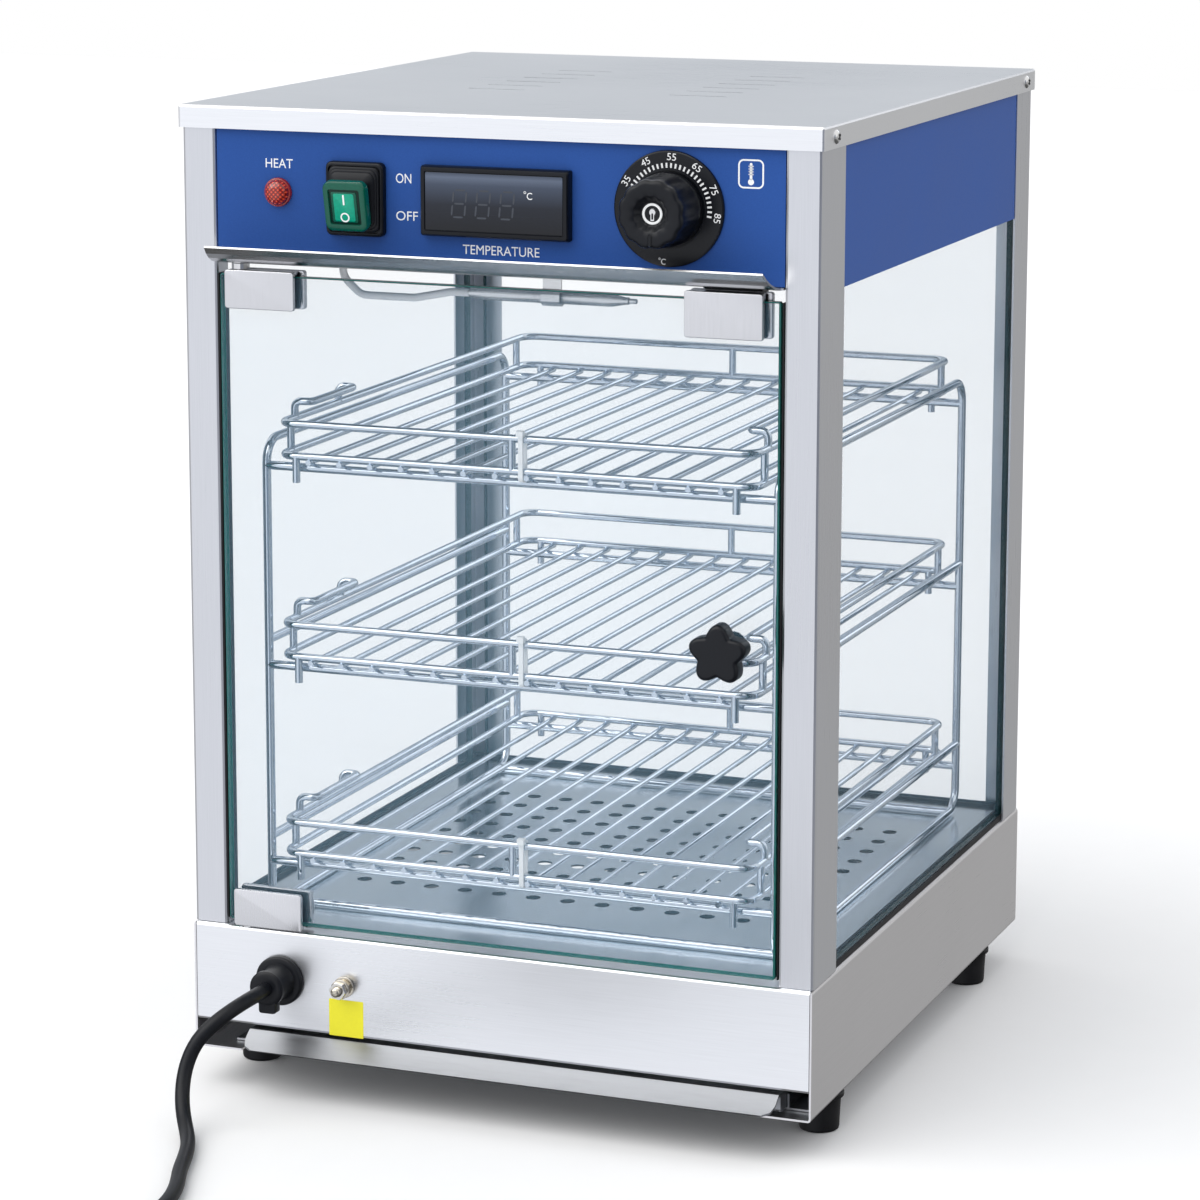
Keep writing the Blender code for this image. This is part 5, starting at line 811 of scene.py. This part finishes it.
smoked_painted_reflection = finish("smoked_window_painted_reflection", (0.012, 0.012, 0.014), roughness=0.10, grain=300, vary=0.1,
    gloss_vary=0.02, Specular_IOR_Level=0.4)
tree = smoked_painted_reflection.node_tree
# Painted reflection: the window is darkest at the bottom and lighter towards the top, with a bright band
# just under its top edge.
level = add(tree, "ShaderNodeSeparateXYZ", {"Vector": add(tree,
    "ShaderNodeTexCoord").outputs["Object"]}).outputs["Z"]
level = add(tree, "ShaderNodeMapRange", {"Value": level, "From Min": METER_Z - 0.014, "From Max": METER_Z
    + 0.014})
shade = ramp(tree, level.outputs["Result"], [(0.0, (0.003, 0.004, 0.007)), (0.45, (0.010, 0.013, 0.022)),
    (0.80, (0.045, 0.060, 0.095)), (0.93, (0.095, 0.120, 0.175)), (1.0, (0.050, 0.065, 0.100))])
tree.links.new(shade, tree.nodes["Principled BSDF"].inputs["Base Color"])
unlit = finish("unlit_digit", (0.040, 0.047, 0.062), roughness=0.20, grain=300, vary=0.05)
pane_front = stack("window", METER_X, METER_Z, [(face_y - 0.0048, 0.0718, 0.0282, 0.0006),
    (face_y - 0.0051, 0.0718, 0.0282, 0.0006), (face_y - 0.0052, 0.0712, 0.0276, 0.0006)], smoked_painted_reflection)
fit(pane_front, "cabinet", "black_plastic", "thermometer_window")
WINDOW_Y = CASE_FRONT - 0.0025
digits = []
LONG, SHORT, STROKE, LEAN = 0.0050, 0.0058, 0.0009, 0.10
for place in range(3):
    x0 = -0.0160 + 0.0125 * place
    for bars, upright in (((0.0, 0.0), False), ((0.0, 0.0066), False), ((0.0, -0.0066), False),
            ((-0.0034, 0.0033), True), ((0.0034, 0.0033), True), ((-0.0034, -0.0033), True),
            ((0.0034, -0.0033), True)):
        bx, bz = bars
        half_w, half_h = (STROKE / 2, LONG / 2) if upright else (SHORT / 2 * 0.85, STROKE / 2)
        points = []
        for sx, sz in ((-1, -0.7), (-0.6, -1), (0.6, -1), (1, -0.7), (1, 0.7), (0.6, 1), (-0.6, 1),
                (-1, 0.7)):
            z = bz + sz * half_h
            points.append((x0 + bx + sx * half_w + LEAN * z, 0.4648 + z))
        digits.append(flat("segment", [points], WINDOW_Y, INK, unlit))
digits.append(flat("degree", [disc_line(0.0185, 0.4716, 0.0013, 16), disc_line(0.0185, 0.4716, 0.0008, 16)],
    WINDOW_Y, INK, ink))
digits.append(printed("C", (0.0195, 0.0223, 0.4682, 0.4716), WINDOW_Y))
fit(joined("thermometer_digits", digits), "cabinet", "black_plastic")

# Thermostat: capillary body behind the panel, a black anodised dial printed in white, and a fluted knob.
anodised = finish("dial_black", (0.004, 0.005, 0.008), roughness=0.26, grain=900, vary=0.1, gloss_vary=0.03,
    Specular_IOR_Level=0.3)
DIAL_X, DIAL_Z = 0.0908, 0.4663
dial_at = on_panel(DIAL_X, DIAL_Z)
dial = lathe("dial", [(0.0272, 0.0016), (0.0278, 0.0012), (0.0280, 0.0006), (0.0280, 0.0), (0.0050, 0.0),
    (0.0050, 0.0014), (0.0182, 0.0014), (0.0184, 0.0019), (0.0187, 0.0019), (0.0189, 0.0016)], 96, dial_at,
    anodised, 30.0)
fit(dial, "cabinet", "black_plastic", "dial_plate")
dress(steel_painted_shade, "thermostat_body")
DIAL_FACE = SEAT_Y - 0.0016
SCALE_START, SCALE_STEP = math.radians(149.5), math.radians(31.5)
figures = []
for k, number in enumerate(("35", "45", "55", "65", "75", "85")):
    angle = SCALE_START - k * SCALE_STEP
    x, z = DIAL_X + 0.0250 * math.cos(angle), DIAL_Z + 0.0250 * math.sin(angle)
    figures.append(printed(number, (x - 0.0023, x + 0.0023, z - 0.0017, z + 0.0017), DIAL_FACE,
        angle - math.pi / 2))
figures.append(printed("°C", (DIAL_X - 0.0050, DIAL_X - 0.0012, DIAL_Z - 0.0266, DIAL_Z - 0.0236),
    DIAL_FACE, math.radians(-98.0) + math.pi / 2))
fit(joined("dial_figures", figures), "cabinet", "black_plastic")
ticks, at = group("dial_ticks", {"Count": WHOLE, "Radius": FLOAT, "Start": FLOAT, "Step": FLOAT,
    "Length": FLOAT, "Width": FLOAT, "Thickness": FLOAT, "Finish": MATTER})
line = add(ticks, "GeometryNodeMeshLine", {"Count": at["Count"]}, mode="OFFSET",
    count_mode="TOTAL").outputs["Mesh"]
angle = maths(ticks, "SUBTRACT", at["Start"], maths(ticks, "MULTIPLY", at["Step"],
    add(ticks, "GeometryNodeInputIndex").outputs["Index"]))
spot = vector(ticks, X=maths(ticks, "MULTIPLY", at["Radius"], maths(ticks, "COSINE", angle)),
    Y=maths(ticks, "MULTIPLY", at["Radius"], maths(ticks, "SINE", angle)))
line = add(ticks, "GeometryNodeSetPosition", {"Geometry": line, "Position": spot}).outputs["Geometry"]
bar = add(ticks, "GeometryNodeMeshCube", {"Size": vector(ticks, X=at["Length"], Y=at["Width"],
    Z=at["Thickness"])}).outputs["Mesh"]
spin = vector(ticks, Z=angle)
line = add(ticks, "GeometryNodeInstanceOnPoints", {"Points": line, "Instance": bar,
    "Rotation": spin}).outputs["Instances"]
ended(ticks, line, at["Finish"])
scale_marks = solid("dial_ticks", bmesh.new(), ink)
grown(scale_marks, ticks, {"Count": 26, "Radius": 0.0209, "Start": SCALE_START, "Step": SCALE_STEP / 5,
    "Length": 0.0023, "Width": 0.0009, "Thickness": INK, "Finish": ink})
scale_marks = as_mesh(scale_marks)
scale_marks.data.transform(Matrix.Translation((DIAL_X, DIAL_FACE - INK / 2, DIAL_Z)) @ ahead_of)
fit(scale_marks, "cabinet", "black_plastic")

KNOB_BASE = CASE_FRONT + 0.0004
knob_at = Matrix.Translation((DIAL_X, KNOB_BASE, DIAL_Z)) @ ahead_of


def flutes(angle, level):
    """Twelve scallops for the fingers, which run out towards the skirt."""
    if level < 0.0062 or level > 0.0244:
        return 1.0
    fade = min(1.0, (level - 0.0062) / 0.004)
    return 1.0 - 0.045 * fade * (0.5 + 0.5 * math.cos(12 * angle)) ** 1.5


knob = [lathe("knob_body", [(0.0138, 0.0245), (0.0154, 0.0243), (0.0162, 0.0237), (0.01665, 0.0228),
    (0.0169, 0.0200), (0.0171, 0.0160), (0.0173, 0.0110), (0.0174, 0.0082), (0.01755, 0.0064),
    (0.01775, 0.0052), (0.01775, 0.0006), (0.0174, 0.0), (0.0031, 0.0), (0.0031, 0.0120), (0.0010, 0.0121),
    (0.0010, 0.0210), (0.0060, 0.0210), (0.0065, 0.0214), (0.0084, 0.0240), (0.0089, 0.0245)], 144, knob_at,
    black, 50.0, ring=flutes)]
knob.append(lathe("cap_ring", [(0.0050, 0.0214), (0.0051, 0.0213), (0.0051, 0.0209), (0.0039, 0.0209),
    (0.0039, 0.0213), (0.0040, 0.0214)], 48, knob_at, ink, 50.0))
knob.append(lathe("spindle", [(0.0, 0.0213), (0.0015, 0.0213), (0.0018, 0.0210), (0.0018, 0.0208),
    (0.0, 0.0208)], 28, knob_at @ Matrix.Translation((0.0, 0.0007, 0.0)), bright_steel))
front_y = KNOB_BASE - 0.0211
knob.append(flat("spindle_flat", [frame_line(DIAL_X, DIAL_Z - 0.0017, 0.0018, 0.0034, 0.0004, 3)], front_y,
    0.00015, bright_steel))
# Painted shade: a thin black plate on the spindle's end stands for the shade in its slot.
knob.append(flat("spindle_slot_painted_shade", [frame_line(DIAL_X, DIAL_Z - 0.0012, 0.0008, 0.0030, 0.0003, 2)],
    front_y - 0.0002, 0.00012, black))
front_y = KNOB_BASE - 0.0245
knob.append(stack("pointer", DIAL_X, DIAL_Z - 0.0124, [(front_y + 0.0004, 0.0022, 0.0062, 0.0010),
    (front_y, 0.0022, 0.0062, 0.0010), (front_y - 0.0006, 0.0012, 0.0052, 0.0005)], anodised))
knob = joined("temperature_knob_body", knob)
fit(knob, "temperature_knob", "black_plastic", "thermostat_knob")

# Lid: one stainless pan pressed over the posts, with two groups of vent slots and screws through its skirts.
lid_steel = finish("lid_steel", (0.93, 0.94, 0.96), 1.0, 0.30, grain=(30, 1600, 1600), vary=0.04, bump=0.04,
    broad=4.0)
dress(lid_steel, "top_cover")
skirt_screws = []
for side, sign in (("left", -1), ("right", 1)):
    for depth in (0.018, 0.357):
        out = Matrix.Translation((sign * 0.1690, CASE_FRONT + depth,
            0.5020)) @ Matrix.Rotation(sign * math.pi / 2, 4, "Y")
        skirt_screws.append(lathe("head", [(0.0, 0.0016), (0.0012, 0.0015), (0.0024, 0.0012),
            (0.0033, 0.0005), (0.0035, 0.0), (0.0, 0.0)], 28, out, bright_steel))
        # Painted shade: a raised black cross on each head stands for the shade in its cross recess.
        slot = out @ Matrix.Translation((0.0, 0.0, 0.0013))
        for turn in (0.6, 0.6 + math.pi / 2):
            shape = bmesh.new()
            bmesh.ops.create_cube(shape, size=1.0, matrix=slot @ Matrix.Rotation(turn, 4, "Z")
                @ Matrix.Diagonal((0.0034, 0.0007, 0.0008, 1.0)))
            skirt_screws.append(solid("cross", shape, black))
fit(joined("lid_screws", skirt_screws), "cabinet", "stainless")

# Door: toughened pane on two pivot clamps, with a catch clip, a magnet above it and a star-grip knob.
pane("door_pane", (-0.1475, GLASS_FRONT, 0.0905), (0.1475, GLASS_REAR, 0.4243), 0.0006, "door_glass",
    "door", cut_edge)
satin = finish("satin_chrome", (0.74, 0.74, 0.76), 1.0, 0.24, grain=(1500, 900, 50), vary=0.05, bump=0.04)


def slab(name, low, high, material, corner=0.0015, edge=0.0006):
    """Metal plate with rounded corners and softened edges, in the XZ plane, between two corners."""
    low, high = Vector(low), Vector(high)
    wide, tall = high.x - low.x, high.z - low.z
    x, z = (low.x + high.x) / 2, (low.z + high.z) / 2
    rings = [(high.y, edge), (high.y - edge * 0.3, edge * 0.3), (high.y - edge, 0.0), (low.y + edge, 0.0),
        (low.y + edge * 0.3, edge * 0.3), (low.y, edge)]
    return stack(name, x, z, [(y, wide - 2 * shrink, tall - 2 * shrink, corner) for y, shrink in rings],
        material)


def glass_clamp(name, left, right_, top_z, bottom_z, web, material, node):
    """Two plates over the glass, a web across its edge and a black liner on each face."""
    front, rear = GLASS_FRONT, GLASS_REAR
    up = web > 0
    thick = abs(web)
    edge_low, edge_high = (top_z - thick, top_z) if up else (bottom_z, bottom_z + thick)
    parts = [slab("front_plate", (left, front - 0.0033, bottom_z), (right_, front - 0.0008, top_z),
        material), slab("rear_plate", (left, rear + 0.0008, bottom_z),
        (right_ + 0.0018, rear + 0.0043, top_z), material),
        slab("liner_front", (left + 0.0004, front - 0.0008, bottom_z + 0.0005),
        (right_ - 0.0004, front - 0.0001, top_z - 0.0005), rubber, 0.001, 0.0001),
        slab("liner_rear", (left + 0.0004, rear + 0.0001, bottom_z + 0.0005),
        (right_ - 0.0004, rear + 0.0008, top_z - 0.0005), rubber, 0.001, 0.0001),
        slab("web", (left + 0.0010, front - 0.0008, edge_low),
        (right_ - 0.0010, rear + 0.0008, edge_high - 0.0002 if up else edge_high), material, 0.0004,
        0.0002)]
    return fit(joined(name, parts), "door", "chromed_wire", node)


# Painted shade: thin black strips down the inside of both front jambs stand for the dark gap beside the
# door.
for side, sign in (("left", -1), ("right", 1)):
    ends = sorted((sign * 0.1484, sign * 0.14925))
    fit(slab(f"jamb_shade_strip_{side}", (ends[0], CASE_FRONT + 0.0022, 0.0905),
        (ends[1], CASE_FRONT + 0.0130, 0.4240), rubber, 0.0002, 0.0001), "cabinet", "black_rubber")
glass_clamp("top_clamp", -0.1435, -0.1055, 0.4268, 0.4073, 0.0022, satin, "hinge_clamp_top")
glass_clamp("bottom_clamp", -0.1435, -0.1055, 0.1075, 0.0880, -0.0022, satin, "hinge_clamp_bottom")
glass_clamp("catch_plate", 0.1000, 0.1400, 0.4281, 0.4056, 0.0035, satin, "catch_clip")
dress(bright_steel, "pivot_pin_top", "pivot_pin_bottom", "door_knob_nut")
dress(black, "magnet_catch")
KNOB_X, KNOB_Z, LOBES, STAR_SEAT = 0.1235, 0.2550, 5, CASE_FRONT + 0.0007


def star(reach, rise):
    """Outline of the five-lobed head, pulled in by some of its edge radius."""
    line = []
    for k in range(120):
        angle = TURN * k / 120
        wave = (1 + math.cos(LOBES * angle)) / 2
        radius = 0.0108 + 0.0042 * wave ** 0.8 - reach
        line.append(Vector((KNOB_X + radius * math.sin(angle), rise, KNOB_Z + radius * math.cos(angle))))
    return line


head_y = STAR_SEAT - 0.0090
quarter = [math.pi / 2 * step / 6 for step in range(7)]
rings = [star(0.0022, head_y)]
rings += [star(0.0020 * (1 - math.sin(t)), head_y - 0.0020 * (1 - math.cos(t))) for t in quarter]
rings += [star(0.0024 * (1 - math.cos(t)), head_y - 0.0086 - 0.0024 * math.sin(t)) for t in quarter]
rings.append(star(0.0060, head_y - 0.0110))
star_knob = [loft("star_head", rings, black, 60.0)]
knob_axis = Matrix.Translation((KNOB_X, 0.0, KNOB_Z)) @ ahead_of
glass_y = -STAR_SEAT
star_knob.append(lathe("star_neck", [(0.0, glass_y + 0.0100), (0.0066, glass_y + 0.0100),
    (0.0068, glass_y + 0.0040), (0.0070, glass_y + 0.0010), (0.0070, glass_y), (0.0025, glass_y),
    (0.0025, glass_y - 0.0123), (0.0, glass_y - 0.0123)], 40, knob_axis, black))
star_knob.append(lathe("star_button", [(0.0, glass_y + 0.0196), (0.0040, glass_y + 0.0195),
    (0.0047, glass_y + 0.0191), (0.0047, glass_y + 0.0150), (0.0, glass_y + 0.0150)], 40, knob_axis, black))
fit(joined("star_grip", star_knob), "door", "black_plastic", "door_knob")

# Shelf stand and shelves: chromed round wire, butt-welded and plated; each shelf is a deck ring and a guard
# ring with a grid of thinner wires welded under it, four corner pegs and two lifting grips.
chrome = finish("chrome_plate", (0.74, 0.79, 0.86), 1.0, 0.06, grain=260, vary=0.05, gloss_vary=0.03,
    bump=0.06, depth=0.0002, broad=30.0)
welded, at = group("welded_wires", {"Wire": FLOAT, "Sides": WHOLE, "Grid Wire": FLOAT, "Grid Count": WHOLE,
    "Grid Pitch": FLOAT, "Grid Front": FLOAT, "Grid Length": FLOAT, "Grid Height": FLOAT, "Finish": MATTER})
ring = add(welded, "GeometryNodeCurvePrimitiveCircle", {"Resolution": at["Sides"],
    "Radius": maths(welded, "MULTIPLY", at["Wire"], 0.5)}).outputs["Curve"]
bent = add(welded, "GeometryNodeCurveToMesh", {"Curve": at["Geometry"], "Profile Curve": ring,
    "Fill Caps": True}).outputs["Mesh"]
thin = add(welded, "GeometryNodeCurvePrimitiveCircle", {"Resolution": 10,
    "Radius": maths(welded, "MULTIPLY", at["Grid Wire"], 0.5)}).outputs["Curve"]
reach = vector(welded, Y=at["Grid Length"])
straight = add(welded, "GeometryNodeCurvePrimitiveLine", {"Start": (0.0, 0.0, 0.0),
    "End": reach}).outputs["Curve"]
straight = add(welded, "GeometryNodeCurveToMesh", {"Curve": straight, "Profile Curve": thin,
    "Fill Caps": True}).outputs["Mesh"]
first = maths(welded, "MULTIPLY", maths(welded, "MULTIPLY",
    maths(welded, "SUBTRACT", at["Grid Count"], 1.0), -0.5), at["Grid Pitch"])
corner = vector(welded, X=first, Y=at["Grid Front"], Z=at["Grid Height"])
spread = add(welded, "GeometryNodeMeshLine", {"Count": at["Grid Count"], "Start Location": corner,
    "Offset": vector(welded, X=at["Grid Pitch"])}, mode="OFFSET").outputs["Mesh"]
laid = add(welded, "GeometryNodeInstanceOnPoints", {"Points": spread,
    "Instance": straight}).outputs["Instances"]
whole = add(welded, "GeometryNodeJoinGeometry")
welded.links.new(bent, whole.inputs["Geometry"])
welded.links.new(laid, whole.inputs["Geometry"])
ended(welded, whole.outputs["Geometry"], at["Finish"])


def wires(name, lines, values, body, node):
    """Welded wire piece: lines are (points, closed, thickness share of the main wire)."""
    curve = bpy.data.curves.new(name, "CURVE")
    curve.dimensions = "3D"
    for line in lines:
        spline_in(curve, *line)
    piece = placed(name, curve)
    grown(piece, welded, {"Sides": 14, "Grid Wire": 0.003, "Grid Pitch": 0.017, "Finish": chrome, **values})
    return fit(as_mesh(piece), body, "chromed_wire", node)


STAND_X, STAND_FRONT, STAND_REAR = 0.1375, CASE_FRONT + 0.031, CASE_FRONT + 0.350
SHELF_X, SHELF_FRONT, SHELF_REAR = 0.1275, CASE_FRONT + 0.025, CASE_FRONT + 0.356
DECKS = (0.1215, 0.2255, 0.3295)
FOOT_WIRE = 0.09085
bars = [deck - 0.0067 + 0.0001 - 0.00005 for deck in DECKS]
lines = []
for x in (-STAND_X, STAND_X):
    top_z = bars[-1] + 0.013
    loop = rounded_path([(x, STAND_FRONT, FOOT_WIRE), (x, STAND_FRONT, top_z), (x, STAND_REAR, top_z),
        (x, STAND_REAR, FOOT_WIRE)], 0.012, 8, closed=True)
    lines.append((loop, True, 1.0))
    for bar in bars[:-1]:
        lines.append(([(x, STAND_FRONT, bar + 0.013), (x, STAND_REAR, bar + 0.013)], False, 0.92))
for level, bar in enumerate([FOOT_WIRE, *bars]):
    inset = 0.0 if level else 0.012
    for y in (STAND_FRONT + inset, STAND_REAR - inset):
        lines.append(([(-STAND_X, y, bar), (STAND_X, y, bar)], False, 0.96))
wires("wire_stand", lines, {"Wire": 0.0045, "Grid Count": 0}, "cabinet", "shelf_stand")
tie_white = finish("nylon_tie", (0.86, 0.87, 0.88), roughness=0.4, grain=800, vary=0.03)
for deck, node, body in zip(DECKS, ("shelf_bottom", "shelf_middle", "shelf_top"),
        ("lower_shelf", "centre_shelf", "upper_shelf")):
    guard = deck + 0.0165
    lines = []
    for z in (deck, guard):
        lines.append((rounded_path([(-SHELF_X, SHELF_FRONT, z), (SHELF_X, SHELF_FRONT, z),
            (SHELF_X, SHELF_REAR, z), (-SHELF_X, SHELF_REAR, z)], 0.009, 8, closed=True), True, 1.0))
    stays = [(0.0, SHELF_FRONT), (0.0, SHELF_REAR)]
    stays += [(x, y) for x in (-SHELF_X, SHELF_X) for y in (SHELF_FRONT + 0.014, SHELF_REAR - 0.014)]
    lines += [([(x, y, deck), (x, y, guard)], False, 0.78) for x, y in stays]
    for x in (-0.118, 0.118):
        for y in (SHELF_FRONT, SHELF_REAR):
            lines.append(([(x, y, deck), (x, y, deck - 0.0128), (x, y, deck - 0.0135)], False, 0.9))
    for side in (-1, 1):
        near, far = SHELF_FRONT + 0.019, SHELF_FRONT + 0.072
        x, inner, top_z = side * SHELF_X, side * (SHELF_X - 0.0095), guard + 0.0085
        path = [(x, near, guard), (x, near, top_z), (inner, near, top_z), (inner, far, top_z),
            (x, far, top_z), (x, far, guard)]
        lines.append((rounded_path(path, 0.0035, 6), False, 0.96))
    wires(f"wire_{node}", lines, {"Wire": 0.004, "Grid Count": 14, "Grid Front": SHELF_FRONT - 0.0022,
        "Grid Length": SHELF_REAR - SHELF_FRONT + 0.0044, "Grid Height": deck - 0.0027}, body, node)
    loop = rounded_path([(0.0058, SHELF_FRONT - 0.0027, deck - 0.0046),
        (0.0058, SHELF_FRONT - 0.0027, guard + 0.0026), (0.0058, SHELF_FRONT + 0.0027, guard + 0.0026),
        (0.0058, SHELF_FRONT + 0.0027, deck - 0.0046)], 0.0020, 5, closed=True)
    shape = bmesh.new()
    rows = []
    for k, here in enumerate(loop):
        ahead_by = (loop[(k + 1) % len(loop)] - loop[k - 1]).normalized()
        out = Vector((0.0, ahead_by.z, -ahead_by.y)) * 0.0005
        rows.append([shape.verts.new(here + Vector((sx * 0.0012, 0.0, 0.0)) + out * so) for sx,
            so in ((-1, -1), (1, -1), (1, 1), (-1, 1))])
    for one, two in zip(rows, rows[1:] + rows[:1]):
        skin(shape, one, two)
    bmesh.ops.create_cube(shape, size=1.0, matrix=Matrix.Translation((0.0058, SHELF_FRONT - 0.0030, guard
        + 0.0030)) @ Matrix.Diagonal((0.0036, 0.0030, 0.0032, 1.0)))
    bmesh.ops.recalc_face_normals(shape, faces=shape.faces)
    fit(solid(f"cable_tie_{node[6:]}", shape, tie_white), body, "white_sleeve")

# Mains entry: moulded strain-relief gland, the nickelled earth stud with its nut and washer, and a plain
# yellow label below it.
gland_at = Matrix.Translation((GLAND_X, CASE_FRONT, GLAND_Z)) @ ahead_of
gland = lathe("strain_relief", [(0.0, 0.0180), (0.0058, 0.0180), (0.0084, 0.0178), (0.00925, 0.0170),
    (0.00925, 0.0152), (0.0086, 0.0148), (0.00825, 0.0146), (0.0083, 0.0110), (0.0086, 0.0070),
    (0.0090, 0.0046), (0.0096, 0.0036), (0.0118, 0.0034), (0.0126, 0.0030), (0.0130, 0.0022),
    (0.0130, 0.0003), (0.0067, 0.0003), (0.0067, -0.0080), (0.0, -0.0080)], 56, gland_at, moulded)
lug = loft("clamp_lug", [[Vector((GLAND_X + x, CASE_FRONT + y, GLAND_Z + z)) for x,
    z in frame_line(0.0005, -0.0096, wide, 0.0062, 0.0012, 3)] for y,
    wide in ((-0.0118, 0.0088), (-0.0124, 0.0096), (-0.0172, 0.0096), (-0.0178, 0.0088))], moulded)
fit(joined("cord_grip", [gland, lug]), "cabinet", "black_rubber", "cord_gland")
brassy = finish("nickelled_brass", (0.66, 0.61, 0.52), 1.0, 0.24, grain=500, vary=0.1)
stud_at = Matrix.Translation((-0.0826, CASE_FRONT, 0.0614)) @ ahead_of
thread = [(0.0, 0.0125), (0.0018, 0.0125), (0.0023, 0.0120)]
for turn in range(24):
    low = 0.0117 - 0.0005 * turn
    thread += [(0.0025, low), (0.0022, low - 0.00025)]
thread += [(0.0025, -0.0013), (0.0045, -0.0013), (0.0045, -0.0043), (0.0, -0.0043)]
fit(lathe("earth_screw", thread, 28, stud_at, brassy, 60.0), "cabinet", "nickel_brass", "earth_stud")


def hexed(name, across, low, high, bore, matrix, material):
    """Hexagon nut with chamfered corners and a round bore."""
    shape = bmesh.new()
    rows = []
    for level, share in ((low, 0.94), (low + 0.0004, 1.0), (high - 0.0004, 1.0), (high, 0.94)):
        row = []
        for k in range(36):
            angle = TURN * k / 36
            flat_reach = across / 2 / math.cos((angle + math.pi / 6) % (math.pi / 3) - math.pi / 6)
            limit = across / 2 / math.cos(math.pi / 6) * share
            reach = min(flat_reach, limit)
            row.append(shape.verts.new(matrix @ Vector((reach * math.cos(angle), reach * math.sin(angle),
                level))))
        rows.append(row)
    for level in (high, low):
        rows.append([shape.verts.new(matrix @ Vector((bore * math.cos(TURN * k / 36),
            bore * math.sin(TURN * k / 36), level))) for k in range(36)])
    for one, two in zip(rows, rows[1:] + rows[:1]):
        skin(shape, one, two)
    bmesh.ops.recalc_face_normals(shape, faces=shape.faces)
    return solid(name, shape, material, 30.0)


washer = lathe("washer", [(0.0055, 0.0014), (0.0055, 0.0004), (0.0028, 0.0003), (0.0028, 0.0015),
    (0.0053, 0.0015)], 36, stud_at, brassy)
nut = hexed("nut", 0.0080, 0.0015, 0.0050, 0.0028, stud_at, brassy)
outer_washer = lathe("washer", [(0.0050, 0.0059), (0.0050, 0.0051), (0.0028, 0.0050), (0.0028, 0.0060),
    (0.0048, 0.0060)], 36, stud_at, brassy)
outer_nut = hexed("nut", 0.0080, 0.0060, 0.0095, 0.0028, stud_at @ Matrix.Rotation(0.4, 4, "Z"), nickel)
fit(joined("earth_nuts_and_washers", [washer, nut, outer_washer, outer_nut]), "cabinet", "nickel_brass",
    "earth_nut")
yellow = finish("yellow_label", (0.86, 0.80, 0.02), roughness=0.45, grain=600, vary=0.03)
label = flat("label", [frame_line(-0.08185, 0.0446, 0.0191, 0.0194, 0.0004, 2)], CASE_FRONT, 0.00015,
    yellow)
fit(label, "cabinet", "blue_coat")
